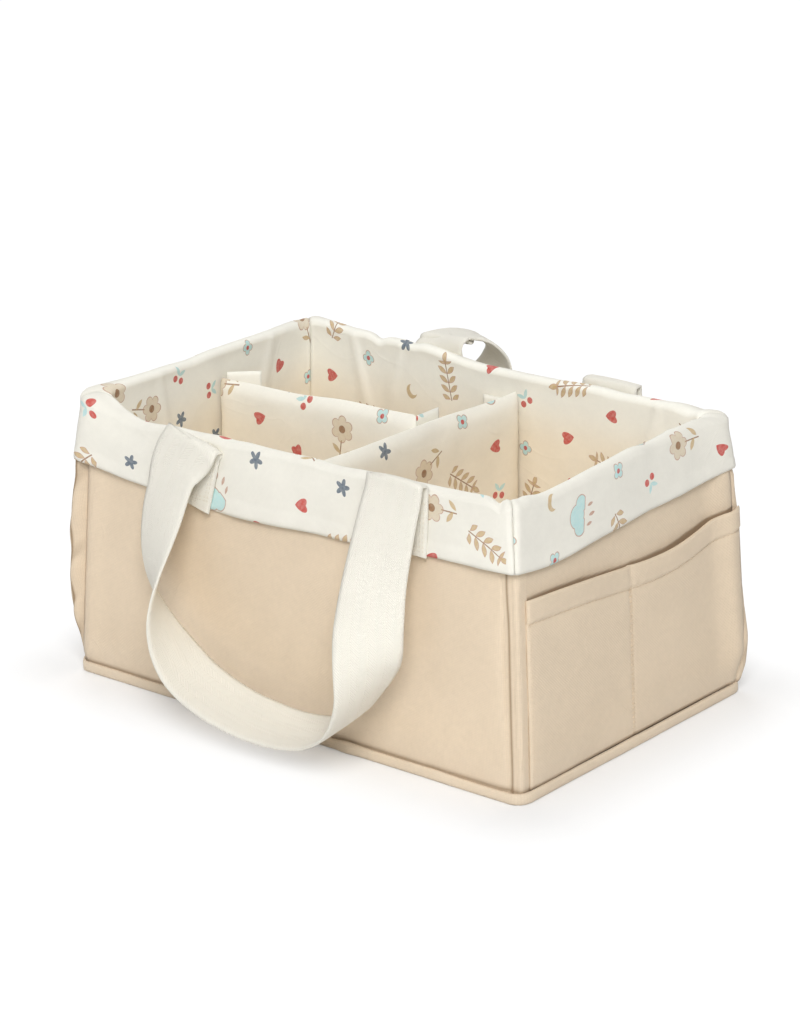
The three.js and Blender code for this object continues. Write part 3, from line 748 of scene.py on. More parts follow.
def cloth_mesh(name, middle, gauge, material, slot, uv=None, shift=(0.0, 0.0)):
    """A closed sheet from a grid of middle points in mm; gauge is a number or a grid of thicknesses."""
    rows, columns = middle.shape[:2]
    gauge = np.broadcast_to(np.asarray(gauge, float), (rows, columns)).copy()
    gauge[[0, -1], :] *= EDGE_GAUGE
    gauge[:, [0, -1]] *= EDGE_GAUGE
    half = grid_normals(middle) * gauge[..., None] / 2
    points = np.concatenate([(middle + half).reshape(-1, 3), (middle - half).reshape(-1, 3)]) * MM
    mesh = bpy.data.meshes.new(name)
    mesh.from_pydata(points.tolist(), [], sheet_faces(rows, columns).tolist())
    uv = laid_flat(middle) if uv is None else uv
    flat = uv.reshape(-1, 2) + np.asarray(shift)
    give_uv(mesh, flat[corner_points(mesh) % (rows * columns)])
    return finished(name, mesh, material, slot)


def mark_painted_shading(piece, values):
    """Store how much painted light and shade each point of a cloth takes: inside the basket for the lining,
    in a ditch for the canvas.
    """
    marks = np.broadcast_to(np.asarray(values, float), len(piece.data.vertices))
    piece.data.attributes.new("inner", "FLOAT", "POINT").data.foreach_set("value", marks.ravel())


def both_faces(values):
    """Marks for the face and the back of a sheet, from a grid for its middle."""
    return np.tile(np.clip(values, 0, 1).ravel(), 2)


print("sheet helpers ready")

# %% [markdown]
# ## Walls
# Each wall is one canvas panel over a board. Sewn down at its edges and soft in its middle, it stands a
# little proud like a shallow pillow, and dives into a ditch at the strips and at the binding. The same bulge
# is used again for what lies on it, so the cuff and the pockets follow the wall.

# %% Shape of the walls
STRIP_ARM = 10.0  # how far a corner strip reaches onto each wall
# How far each wall's canvas runs on over the strip at its first and second edge, in mm
PANEL_OVER = {"front": (9.0, 5.0), "right": (4.5, 12.0), "back": (0.0, 0.0), "left": (0.0, 0.0)}


def wall_half(side, sign, z, over=None):
    """Half the width of the canvas on a wall, on the side of the given sign."""
    first, second = over or PANEL_OVER[side.name]
    if side.name == "front":
        second = second - 2.0 * z / 140
    return side.run(z) - STRIP_ARM - GAP - 0.9 + np.where(np.asarray(sign) < 0, first, second)


def wall_bulge(side, across, z):
    """How far the canvas stands out from the flat wall, in mm."""
    edge = wall_half(side, across, z) - np.abs(across)
    pillow = 1 - np.exp(-np.maximum(edge, 0) / 3.2)
    foot = 1 - np.exp(-np.maximum(z - 2.0, 0) / 6.0)
    slack = 1 - 0.72 * smooth(95, 142, z)
    wave = 1 + 0.35 * ripple(across, z, 11 + len(side.name), 70)
    return 2.6 * pillow * foot * slack * wave


def corner_lap(side, across, z):
    """How far a wall's canvas is pushed out where it runs on over a strip at a puffed corner."""
    if side.name == "front":
        return 3.0 * smooth(-22, -3, -across - side.run(z)) * smooth(5, 18, z)
    if side.name == "right":
        lap = 6.5 * smooth(-26, -1, across - side.run(z)) * smooth(8, 34, z)
        return lap * (1 - 0.8 * smooth(148, 176, z))
    return 0.0


HEM_DEPTH = 15.5
# Height of each pocket's mouth from its first edge to its second, in mm
MOUTHS = {"right": [129.2, 128.6, 127.6, 126.2, 124.2, 122.2, 121.4, 122.0, 124.8, 128.6, 131.6],
          "left": [130.2, 128.6, 127.4, 126.6, 126.0, 125.8, 126.0, 126.8, 127.8, 129.2, 130.6]}


def pocket_mouth(side, share):
    return spline_at(MOUTHS[side.name], (np.asarray(share) + 1) / 2)


def foot_shade(z):
    """How much painted shade darkens the canvas where it meets the binding."""
    return 0.75 * np.exp(-((z - 7.6) / 1.5) ** 2)


print("the front's bulge in mm:", np.round(wall_bulge(FRONT, np.array([-150, 0, 150]), 90.0), 2))

# %% [markdown]
# The sheet follows that shape from under the binding to under the cuff. Shade is painted on the canvas along
# the binding, and behind a pocket where one lies on it, so that a pocket's open mouth shows its depth; the
# rows are close there, so that this edge stays sharp.

# %% Wall panels
PANEL_STEP = 4.0  # mm between columns
PANEL_ROWS, POCKET_ROWS = 40, 130


def panel(side):
    share = np.linspace(-1, 1, int(side.run(0) * 2 / PANEL_STEP))
    rows = POCKET_ROWS if side.name in MOUTHS else PANEL_ROWS
    z = np.concatenate([np.linspace(1.9, 12, 8), np.linspace(15, 150, rows), np.linspace(154, 178, 6)])
    zz, ss = np.meshgrid(z, share, indexing="ij")
    across = ss * wall_half(side, ss, zz)
    out = side.reach(zz) + wall_bulge(side, across, zz) + corner_lap(side, across, zz) - CLOTH / 2
    middle = turned(np.stack([across, -out, zz], -1), side.turn)
    piece = cloth_mesh(f"{side.name}_canvas", middle, CLOTH, canvas, "canvas")
    # Painted shade: along the binding, and on the canvas behind a pocket, below its mouth
    behind = 0.0
    if side.name in MOUTHS:
        line = pocket_mouth(side, across / side.run(60)) + 0.6 * ripple(across, 0, 57, 9)
        behind = 0.95 * (1 - smooth(line - 0.2, line + 1.2, zz))
    mark_painted_shading(piece, both_faces(foot_shade(zz) + behind))
    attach(piece, "basket")
    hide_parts(f"{side.name}_panel")
    width = float(wall_half(side, -1, 90) + wall_half(side, 1, 90))
    return piece


panels = [panel(side) for side in SIDES]
print("panels:", [(piece.name, len(piece.data.polygons)) for piece in panels])

# %% [markdown]
# ## Corner strips
# A folded strip of canvas joins the walls at each corner. It is wider than the corner needs, so it stands out
# in a soft ridge with slanting wrinkles and tucks in under the cuff. Its cross section is an angle with a
# round outer edge; a slanted ripple makes the twisted creases.

# %% Corner strips
STRIP_FOOT, STRIP_EDGE = 7.3, 141.0
ARM_SHARE = 0.14  # the share of a strip's columns that lies flat on each wall


class Fold:
    """How a strip puffs out: how far in mm, its heights as shares of that from foot to cuff, where round the
    corner the ridge stands, from 0 to 1, how narrow it is, the corner's radius in mm, the slant and seed of
    its creases, and where across the strip, from 0 to 1, the dark line of painted shade in its ditch lies."""

    def __init__(self, puff, heights, ridge, narrow, radius, twist, seed, ditch):
        self.puff, self.heights, self.ridge, self.narrow = puff, heights, ridge, narrow
        self.radius, self.twist, self.seed, self.ditch = radius, twist, seed, ditch
        self.puffed = puff > 4


def strip_lift(fold, zz, arc):
    """How far a strip stands out in mm, how full it is and how its creases slant, at a height and an arc."""
    climb = np.clip((zz - STRIP_FOOT) / (STRIP_EDGE - STRIP_FOOT), 0, 1)
    body = spline_at(fold.heights, climb) * (1 - 0.7 * smooth(150, 176, zz)) * smooth(2, 9, zz)
    wander = fold.ridge + 0.05 * ripple(zz, 0, fold.seed, 21) * fold.puffed
    away = np.abs(arc - wander) / fold.narrow
    fullness = np.exp(-away**3.5)
    slant = ripple(arc * 34 + zz * fold.twist, zz * 0.3, fold.seed + 1, 6.0)
    crease = (1.9 * slant + 0.5 * ripple(arc * 30, zz, fold.seed + 2, 16.0)) * smooth(0.02, 0.12, climb)
    crease = crease * (0.3 + 0.7 * np.minimum(away, 1)) * min(1.0, fold.puff / 6)
    uneven = 1 + 0.04 * ripple(zz, 0, fold.seed + 3, 13)
    return fold.puff * body * fullness * uneven + crease * body * fullness, fullness, slant


def corner_strip(name, side_x, side_y, fold):
    column = np.linspace(0, 1, 85)
    z = np.concatenate([[1.9, 4.5], np.linspace(STRIP_FOOT, STRIP_EDGE, 64), np.linspace(146, 176, 6)])
    zz, cc = np.meshgrid(z, column, indexing="ij")
    arc = np.clip((cc - ARM_SHARE) / (1 - 2 * ARM_SHARE), 0, 1)
    angle = arc * math.pi / 2
    lift, fullness, slant = strip_lift(fold, zz, arc)
    out = fold.radius - CLOTH / 2 + np.maximum(lift, 0)
    centre_x, centre_y = half_length(zz) - fold.radius, half_width(zz) - fold.radius
    arm = STRIP_ARM - fold.radius
    x = centre_x + out * np.sin(angle) - np.clip((ARM_SHARE - cc) / ARM_SHARE, 0, 1) * arm
    y = centre_y + out * np.cos(angle) - np.clip((cc - (1 - ARM_SHARE)) / ARM_SHARE, 0, 1) * arm
    middle = np.stack([side_x * x, side_y * y, zz], -1)
    piece = cloth_mesh(name + "_fold", middle, CLOTH, canvas, "canvas")
    # Painted shade: a dark line in the ditch, darker valleys between the creases of a puffed strip, and the
    # shade along the binding
    root = fold.ditch + 0.02 * ripple(zz, 0, fold.seed + 4, 30)
    valley = (0.1 + 0.6 * np.clip(-slant, 0, 1)) * fullness * fold.puffed
    mark_painted_shading(piece, both_faces(0.9 * np.exp(-((cc - root) / 0.02) ** 2) + valley + foot_shade(zz)))
    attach(piece, "basket")
    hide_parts(name)
    girth = float(np.linalg.norm(np.diff(middle, axis=1), axis=-1).sum(1).mean())
    print(piece.name, "is cut", round(girth), "mm wide")
    return piece


# %% [markdown]
# The four corners are not alike. The one at the front left is blown out in a sharp ridge, the one at the back
# right bags over the foot, and the one at the front right is nearly flat. The fourth is out of sight.

# %% The four strips
PUFFED = [0, 0.26, 0.6, 0.82, 0.9, 0.94, 0.97, 1, 0.97, 0.84]
BAGGY = [0.55, 0.95, 1.05, 0.99, 0.9, 0.84, 0.8, 0.76, 0.74, 0.72]
EVEN = [0.9, 1, 1, 1, 1, 1, 1, 1, 1, 1]
strips = [
    corner_strip("front_left_corner_strip", -1, -1, Fold(12.6, PUFFED, 0.6, 0.3, 3, 0.45, 31, 0.5)),
    corner_strip("front_right_corner_strip", 1, -1, Fold(2.3, EVEN, 0.95, 0.5, 3.5, -0.3, 35, 0.1)),
    corner_strip("back_right_corner_strip", 1, 1, Fold(12.5, BAGGY, 0.42, 0.38, 3, 0.45, 39, 0.22)),
    corner_strip("back_left_corner_strip", -1, 1, Fold(9.0, PUFFED, 0.5, 0.4, 3, -0.5, 43, 0.1)),
]
print("strips:", [strip.name for strip in strips])

# %% [markdown]
# ## Binding
# A folded binding runs round the foot and hides the raw edges. It is a flange with a rounded lip, a little
# uneven, pressed flat where the basket stands on it, and its two ends overlap on the front. It follows a
# path, so a ring of cross sections makes it, as a loft.

# %% Path of the binding
BIND_WIDTH, BIND_HEIGHT = 5.5, 7.0
BIND_STEPS = 560  # cross sections round the foot
FOOT_ROUND = 6.0  # the radius of the foot's corners


def ahead_of(heading):
    return np.array([math.cos(heading), math.sin(heading)])


def left_of(heading):
    return np.array([-math.sin(heading), math.cos(heading)])


def follow(spot, heading, length, turns):
    """Where a length of a stretch leads, and the heading there; a stretch is straight or turns left."""
    if not turns:
        return spot + length * ahead_of(heading), heading
    turned_to = heading + length / FOOT_ROUND
    return spot + FOOT_ROUND * left_of(heading) - FOOT_ROUND * left_of(turned_to), turned_to


def foot_path(count):
    """Points, outward directions and lengths along the foot's rounded rectangle, from the front's middle."""
    half_x, half_y = BASE_LENGTH / 2 - FOOT_ROUND, BASE_WIDTH / 2 - FOOT_ROUND
    corner = (FOOT_ROUND * math.pi / 2, True)
    stretches = [(half_x, False), corner, (2 * half_y, False), corner, (2 * half_x, False), corner,
                 (2 * half_y, False), corner, (half_x, False)]
    places = np.linspace(0, sum(length for length, _ in stretches), count, endpoint=False)
    spot, heading, start, k = np.array([0.0, -BASE_WIDTH / 2]), 0.0, 0.0, 0
    points, outs = [], []
    for place in places:
        while place > start + stretches[k][0] + 1e-9:
            spot, heading = follow(spot, heading, *stretches[k])
            start += stretches[k][0]
            k += 1
        point, angle = follow(spot, heading, place - start, stretches[k][1])
        points.append(point)
        outs.append(-left_of(angle))
    return np.array(points), np.array(outs), places


foot_spots, foot_outs, foot_places = foot_path(BIND_STEPS)
print("the path starts at", foot_spots[0], "and is cut into", len(foot_spots), "steps")

# %% Binding
def loft_mesh(name, rings, material, slot, uv):
    """A tube through rings of points in mm that joins back to its first ring."""
    count, around = rings.shape[:2]
    index = np.arange(count * around).reshape(count, around)
    a, b = index, np.roll(index, -1, axis=1)
    faces = np.stack([a, b, np.roll(b, -1, axis=0), np.roll(a, -1, axis=0)], -1).reshape(-1, 4)
    mesh = bpy.data.meshes.new(name)
    mesh.from_pydata((rings.reshape(-1, 3) * MM).tolist(), [], faces.tolist())
    give_uv(mesh, uv.reshape(-1, 2)[corner_points(mesh)])
    return finished(name, mesh, material, slot)


# The binding's cross section, in shares of its width and its height
BIND_SECTION = np.array([[0.0, 0.0], [0.35, 0.0], [0.7, 0.01], [0.9, 0.1], [1.0, 0.32], [1.0, 0.58],
                         [0.93, 0.82], [0.78, 0.97], [0.55, 1.0], [0.3, 0.93], [0.1, 0.8], [0.0, 0.62]])


def binding_size(outs, places):
    """The binding's width and height along its path: uneven, tucked in on the left, lapped on the front."""
    left = smooth(-0.2, 0.6, -outs[:, 0])
    lap = np.exp(-((places - 52) / 6) ** 2) + smooth(44, 47, places) * (1 - smooth(47, 75, places))
    width = BIND_WIDTH * (1 + 0.06 * ripple(places, 0, 51, 30)) * (1 - 0.6 * left) + 0.7 * lap
    return width, BIND_HEIGHT * (1 + 0.05 * ripple(places, 0, 53, 22)) + 0.5 * lap


def binding():
    section = BIND_SECTION
    width, height = binding_size(foot_outs, foot_places)
    reach = GAP + section[None, :, 0] * width[:, None]
    xy = foot_spots[:, None, :] + foot_outs[:, None, :] * reach[..., None]
    z = section[None, :, 1] * height[:, None]
    rings = np.concatenate([xy, z[..., None]], -1)
    girth = running(np.linalg.norm(np.diff(section * [BIND_WIDTH, BIND_HEIGHT], axis=0), axis=1))
    uv = np.stack(np.broadcast_arrays(foot_places[:, None], girth[None, :]), -1)
    piece = loft_mesh("foot_binding", rings, canvas, "canvas", uv)
    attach(piece, "basket")
    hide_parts("base_binding")
    print("binding runs", round(float(foot_places[-1] + foot_places[1])), "mm")


binding()

# %% [markdown]
# ## Lining and cuff
# One printed cotton panel for each wall runs up the inside, rolls over the rim and hangs outside as the cuff.
# The corners turn in an arc, the rim is puffed and uneven, the hem flares off the wall, and the seams between
# the panels pull in. The thickness at the hem is the turned edge. The boards hold the inside leaf flat where
# the dividers press on it, so its bulges fade there.

# %% Shape of the lining
def rounded_place(side, share, depth, z, radius):
    """A place on a side at a share from -1 to 1, on a path that turns half of each corner in an arc."""
    straight = side.run(z) - depth - radius
    along = np.abs(share) * (straight + radius * math.pi / 4)
    angle = np.clip((along - straight) / radius, 0, math.pi / 4)
    across = np.minimum(along, straight) + radius * np.sin(angle)
    out = side.reach(z) - depth - radius + radius * np.cos(angle)
    return np.sign(share) * across, out


# How round each side's first and second corner is at the rim, in mm
CORNER_ROUND = {"front": (15, 6), "right": (6, 15), "back": (15, 9), "left": (9, 15)}
# How far each of those corners is puffed out at the rim, in mm
CORNER_PUFF = {"front": (7.5, 1.5), "right": (1.5, 6.5), "back": (6.5, 3.0), "left": (3.0, 7.5)}
PUFF_WIDTH = 26.0  # mm along the side
HANDLE_SPREAD = 84.0  # where the handles' ends hold the cuff flat, in mm from the middle


def by_corner(pair, share):
    return np.where(np.asarray(share) < 0, pair[0], pair[1])


def corner_puff(side, share):
    """How far the cuff is puffed out, in mm: most at the corners, fading along the side."""
    near = np.exp(-((1 - np.abs(share)) * side.run(0) / PUFF_WIDTH) ** 2)
    return by_corner(CORNER_PUFF[side.name], share) * near


def seam_pull(side, share):
    """1 at the corner seams, falling to 0 within a few millimetres."""
    away = (1 - np.abs(share)) * side.run(150)
    return np.exp(-away / 1.6)


print("the front's cuff is puffed out at its ends by", corner_puff(FRONT, np.array([-1, 1])), "mm")

# %% Stand of the cuff and slack of the leaf
def cuff_stand(side, share, fall):
    """How far the cuff's middle stands out from the wall, from the rim at fall 0 to its hem at fall 1."""
    along = share * side.run(0)
    flare = 0.8 * smooth(0.1, 1.0, fall) + 0.5 * smooth(0.75, 1.0, fall)
    soft = 0.7 * (1 + ripple(along, fall * 55, 61 + len(side.name), 42)) * smooth(0.0, 0.4, fall)
    pucker = 0.4 * ripple(along, fall * 20, 71 + len(side.name), 11) * smooth(0.55, 1.0, fall)
    corner = corner_puff(side, share) * (1 - 0.35 * smooth(0.2, 1.0, fall))
    held = smooth(20, 40, np.abs(np.abs(along) - HANDLE_SPREAD)) if side.name in ("front", "back") else 1.0
    pull = 0.9 * seam_pull(side, share) * smooth(0.0, 0.3, fall)
    return 1.3 + (flare + soft + pucker) * (0.25 + 0.75 * held) + corner - pull


# Soft folds that fall from the rim on the inside: where along the side in mm, how deep and how slanted
LEAF_FOLDS = {
    "front": [],
    "right": [(70, 1.4, 0.3)],
    "back": [(142, 1.9, -0.3), (97, 1.7, 0.25), (-150, 1.5, 0.3)],
    "left": [(-70, 1.4, 0.3), (60, 1.2, -0.25)],
}


def leaf_slack(side, share, z):
    """How far the inside leaf bellies into the basket, in mm; 0 where a divider touches it."""
    along = share * side.run(0)
    held = {"front": smooth(26, 60, np.abs(along - 6)), "back": smooth(26, 60, np.abs(along + 6)),
            "left": smooth(28, 60, np.abs(along + 22)), "right": 1.0}[side.name]
    belly = 1.3 + 1.3 * ripple(along, z, 81 + len(side.name), 55) + 0.6 * ripple(along, z * 0.4, 85, 24)
    slack = np.maximum(belly, 0) * held * smooth(8, 40, z) * (1 - 0.6 * smooth(150, 185, z))
    for place, depth, slant in LEAF_FOLDS[side.name]:
        away = along - place - slant * (190 - z)
        slack = slack + depth * np.exp(-(away / (3.2 + 0.06 * (190 - z))) ** 2) * smooth(118, 165, z)
    return slack


print("slack of the right leaf in mm:", np.round(leaf_slack(RIGHT, np.array([-0.5, 0, 0.5]), 150.0), 2))

# %% Line of the rim
# Small dips in the rim: where from -1 to 1, how deep and how wide in mm
RIM_NOTCHES = {
    "front": [(0.955, 4.2, 6.0), (-0.90, 1.2, 8.0), (-0.30, 0.8, 9.0)],
    "right": [(-0.96, 2.0, 7.0), (0.93, 2.0, 8.0), (0.3, 0.7, 10.0)],
    "back": [(0.62, 3.0, 6.0), (0.44, 1.8, 7.0), (-0.93, 2.5, 9.0), (-0.6, 0.8, 12.0)],
    "left": [(-0.95, 1.6, 8.0), (0.2, 0.6, 14.0)],
}


def rim_line(side, share):
    """The rim's top, in mm, with the small dips and folds that the cloth shows."""
    top = rim_top(side, share) + 0.6 * ripple(share * side.run(0), 0, 91 + len(side.name), 26)
    for place, dip, width in RIM_NOTCHES[side.name]:
        top = top - dip * np.exp(-((share - place) * side.run(0) / width) ** 2)
    ends = smooth(0, 8, (1 - np.abs(share)) * side.run(0))
    return top * ends + (1 - ends) * (rim_top(side, share) - 1.2)


print("the front's rim in mm:", np.round(rim_line(FRONT, np.linspace(-1, 1, 5)), 1))

# %% [markdown]
# A lining's grid follows the cloth: rows up the inside leaf, round the roll and down the cuff, and columns
# that close up a little towards the seams.

# %% Lining
LEAF_ROWS, ROLL_STEPS, CUFF_STEPS = 34, 16, 20
LINING_STEP = 2.9  # mm between columns
HEM_GAUGE = 2.9  # the turned edge, on the last rows but one
# Where each lining lies on the printed cloth, in mm
PRINT_SHIFT = {"front": (11, 4), "right": (390, 23), "back": (640, 10), "left": (1015, 31)}


def lining_rows(side, share, centre, hem):
    """How deep inside the wall's face, and how high, each row lies; outside it the depth is negative."""
    depths, heights = [], []
    for k in range(LEAF_ROWS):
        z = LEAF_FOOT + (centre - LEAF_FOOT) * k / LEAF_ROWS
        depths.append(INSIDE - LINING / 2 + leaf_slack(side, share, z))
        heights.append(z)
    soft = 0.9 * (1 + ripple(share * side.run(0), 7, 101 + len(side.name), 33))
    puff = soft - 1.3 * seam_pull(side, share)
    fat = corner_puff(side, share)
    for k in range(ROLL_STEPS + 1):
        angle = math.pi * k / ROLL_STEPS
        radius = ROLL - LINING / 2 + np.maximum(puff, -1.2) * math.sin(angle)
        over = fat * (1 - math.cos(angle)) / 2
        leaf = leaf_slack(side, share, centre) * (1 - k / ROLL_STEPS)
        depths.append(INSIDE - ROLL + radius * math.cos(angle) + leaf - over)
        heights.append(centre + (ROLL - LINING / 2 + puff * 0.3) * math.sin(angle))
    for k in range(1, CUFF_STEPS + 1):
        fall = k / CUFF_STEPS
        depths.append(-cuff_stand(side, share, fall))
        heights.append(centre + (hem - centre) * fall)
    return np.array(depths), np.array(heights)


def lining_panel(side):
    share = np.linspace(-1, 1, int(side.run(0) * 2 / LINING_STEP))
    share = np.sign(share) * (1 - (1 - np.abs(share)) ** 1.06)
    centre = rim_line(side, share) - ROLL
    hem = cuff_hem(side, share) + 0.5 * ripple(share * side.run(0), 3, 97, 30)
    depth, z = lining_rows(side, share, centre, hem)
    inward = smooth(-3.0, INSIDE, depth)
    sharp = 1 - 0.75 * smooth(0.1, 0.9, (centre - z) / (centre - hem)) * (depth < 0)
    corner = by_corner(CORNER_ROUND[side.name], share)
    inner_round = 3 + 0.6 * (corner - 6) * smooth(110, 180, z)
    radius = corner * sharp * (1 - inward) + inner_round * inward
    across, out = rounded_place(side, np.broadcast_to(share, z.shape), depth, z, radius)
    short = np.sign(share) * 0.12 * (np.abs(share) > 0.999)
    middle = turned(np.stack([across - short, -out, z], -1), side.turn)
    gauge = np.full(z.shape, LINING)
    gauge[-5:-1] = HEM_GAUGE
    down = running(np.linalg.norm(np.diff(middle, axis=0), axis=-1).mean(1))
    uv = spread_out(running(np.diff(share) * side.run(100)), down)
    shift = PRINT_SHIFT[side.name]
    piece = cloth_mesh(f"{side.name}_lining_cloth", middle, gauge, lining, "lining", uv, shift)
    # Painted light: the inside leaf and the roll take the lining's painted colours, lighter at the rim and
    # warmer deep down
    mark_painted_shading(piece, both_faces(smooth(-1.0, INSIDE - 2, depth)))
    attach(piece, "basket")
    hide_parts(f"{side.name}_lining")
    wide, long = 2 * side.run(100) * MM, float(down[-1]) * MM
    print(piece.name, "is cut", round(wide / MM), "by", round(long / MM), "mm")
    return piece


linings = [lining_panel(side) for side in SIDES]
print("linings:", [(piece.name, len(piece.data.polygons)) for piece in linings])

# %% [markdown]
# ## Floor of the basket and the cloth under it
# The lining's floor is a flat piece of the same print. The cloth underneath is only seen when the basket is
# turned over. Both are rounded rectangles, and the lining's floor has a slight quilted swell so it does not
# look like a plate.

# %% Base cloths
def base_cloth(name, node, half_x, half_y, z, gauge, material, slot, swell=0.0, shift=(0, 0)):
    """A flat cloth on or under the basket's floor, with its middle at a height and a quilted swell."""
    t = np.linspace(-1, 1, 60)
    uu, vv = np.meshgrid(t, t, indexing="xy")
    corner = 1 - 0.03 * smooth(0.9, 1.0, np.abs(uu)) * smooth(0.9, 1.0, np.abs(vv))
    x, y = uu * half_x * corner, vv * half_y * corner
    lift = swell * (1 - uu**6) * (1 - vv**6) * (0.6 + 0.4 * ripple(x, y, 111, 45))
    middle = np.stack([x, y, z + lift], -1)
    piece = cloth_mesh(name, middle, gauge, material, slot, middle[..., :2], shift)
    # The lining's floor takes the painted light of the inside all over
    if slot == "lining":
        mark_painted_shading(piece, 1.0)
    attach(piece, "basket")
    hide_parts(node)


inside_x = half_length(FLOOR) - INSIDE - GAP
inside_y = half_width(FLOOR) - INSIDE - GAP
base_cloth("floor_lining", "base_lining", inside_x, inside_y, 6.2, LINING, lining, "lining", 0.25, (500, 400))
under_x, under_y = BASE_LENGTH / 2 - GAP - 0.4, BASE_WIDTH / 2 - GAP - 0.4
base_cloth("under_cloth", "base_panel", under_x, under_y, 0.8, CLOTH, canvas, "canvas")
print("floor is", round(2 * inside_x), "by", round(2 * inside_y), "mm")

# %% [markdown]
# ## End pockets
# A canvas panel on each end, sewn at its sides, its foot and down its middle, makes two pockets. The top is
# folded into a hem and gapes a little. The hem is thicker, and the middle seam pulls the cloth to the wall.

# %% Pockets
POCKET_FOOT = 7.4
HEM_THICK = 2.6  # the folded hem of a pocket
# How far past the ditch the pocket reaches over the strip at its first and second edge, in mm
POCKET_OVER = {"right": (3.5, 15.0), "left": (4.0, 4.0)}


def pocket_across(side, share, z):
    return share * wall_half(side, share, z, POCKET_OVER[side.name])


def pocket_stand(side, share, z):
    """How far the pocket's back lies from the flat wall, in mm."""
    climb = np.clip((z - STRIP_FOOT) / (pocket_mouth(side, share) - STRIP_FOOT), 0, 1)
    halves = np.abs(np.sin(share * math.pi)) ** 0.45
    gape = 1.2 * climb**2.2 * halves + 1.3 * smooth(0.86, 1.0, climb) * halves
    across = pocket_across(side, share, z)
    slack = 0.6 * (1 + ripple(across, z, 121 + len(side.name), 34)) * smooth(0.05, 0.4, climb) * halves
    lap = 0.9 * smooth(-1.5, 2.0, np.abs(across) - (side.run(z) - STRIP_ARM)) + corner_lap(side, across, z)
    return 0.35 + wall_bulge(side, across, z) + gape + slack + lap


def pocket(side):
    share = np.linspace(-1, 1, 91)
    hem_foot = pocket_mouth(side, share) - HEM_DEPTH
    z_low = POCKET_FOOT + np.linspace(0, 1, 40)[:, None] * (hem_foot - POCKET_FOOT)
    z_hem = hem_foot + np.linspace(0.03, 1, 12)[:, None] * HEM_DEPTH
    z = np.concatenate([z_low, z_hem])
    ss = np.broadcast_to(share, z.shape)
    gauge = np.where(z > hem_foot - 0.2, HEM_THICK, CLOTH)
    gauge = np.where(np.abs(z - hem_foot) < 1.0, 1.5, gauge)
    gauge = gauge - 0.5 * np.exp(-(np.abs(ss) * side.run(0) / 1.2) ** 2)
    out = side.reach(z) + pocket_stand(side, ss, z) + gauge / 2
    across = pocket_across(side, ss, z)
    middle = turned(np.stack([across, -out, z], -1), side.turn)
    piece = cloth_mesh(f"{side.name}_pocket_cloth", middle, gauge, canvas, "canvas", shift=(0, 300))
    # Painted shade where the pocket meets the binding
    mark_painted_shading(piece, both_faces(0.8 * foot_shade(z)))
    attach(piece, "basket")
    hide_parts(f"{side.name}_pocket")
    width = 2 * (side.run(60) - STRIP_ARM) * MM
    return piece


pockets = [pocket(RIGHT), pocket(LEFT)]
print("pockets:", [piece.name for piece in pockets])

# %% [markdown]
# ## Dividers
# Each divider is a padded sleeve over a stiff board. A slightly thin pad is remeshed evenly and blown up a
# little with the Cloth simulation, so that it gets real tension wrinkles at its edges; how far a point may
# move is capped, because the board inside keeps the faces nearly flat.

# %% Pad of a divider
DIVIDER_HEIGHT, DIVIDER_FOOT = 177.0, 7.5
# The thickness of the thin pad, how far a point of it may move, and half the thickness of a sleeve at most
PAD_START, PAD_CAP, SLEEVE_HALF = 6.0, 1.5, 4.5
BLOW_FRAMES = 20


def pad_mesh(name, length, thickness):
    """A thin pad along X with a round top, as a closed grid of sections."""
    half, radius = length / 2, thickness / 2
    stations = np.concatenate([[-half, -half + 0.8, -half + 2.5], np.linspace(-half + 7, half - 7, 34),
                               [half - 2.5, half - 0.8, half]])
    ends = np.minimum(1, np.sqrt(np.clip((half - np.abs(stations)) / 5.0, 0, 1)) * 0.45 + 0.55)
    top = DIVIDER_HEIGHT - 0.6 - radius
    section = [[radius * math.cos(a), top + radius * math.sin(a)] for a in np.linspace(0, math.pi, 9)]
    section += [[-radius, h] for h in np.linspace(DIVIDER_HEIGHT - 12, 3, 24)]
    section += [[-radius + 1.2, 0.5], [radius - 1.2, 0.5]]
    section += [[radius, h] for h in np.linspace(3, DIVIDER_HEIGHT - 12, 24)]
    y, z = np.array(section).T
    rings = np.stack(np.broadcast_arrays(stations[:, None], y[None, :] * ends[:, None], z[None, :]), -1)
    count, n = rings.shape[:2]
    index = np.arange(count * n).reshape(count, n)
    following = np.roll(index, -1, axis=1)
    faces = np.stack([index[:-1], following[:-1], following[1:], index[1:]], -1).reshape(-1, 4).tolist()
    faces += [index[0].tolist()[::-1], index[-1].tolist()]
    mesh = bpy.data.meshes.new(name)
    mesh.from_pydata((rings.reshape(-1, 3) * MM).tolist(), [], faces)
    return mesh


print("a pad starts", PAD_START, "mm thick and may grow to", 2 * SLEEVE_HALF, "mm")

# %% Blown up pads
def applied(piece):
    """An object's mesh with its modifiers applied."""
    depsgraph = bpy.context.evaluated_depsgraph_get()
    return bpy.data.meshes.new_from_object(piece.evaluated_get(depsgraph))


def points_of(mesh):
    """The places of a mesh's points, in metres."""
    places = np.empty(len(mesh.vertices) * 3)
    mesh.vertices.foreach_get("co", places)
    return places.reshape(-1, 3)


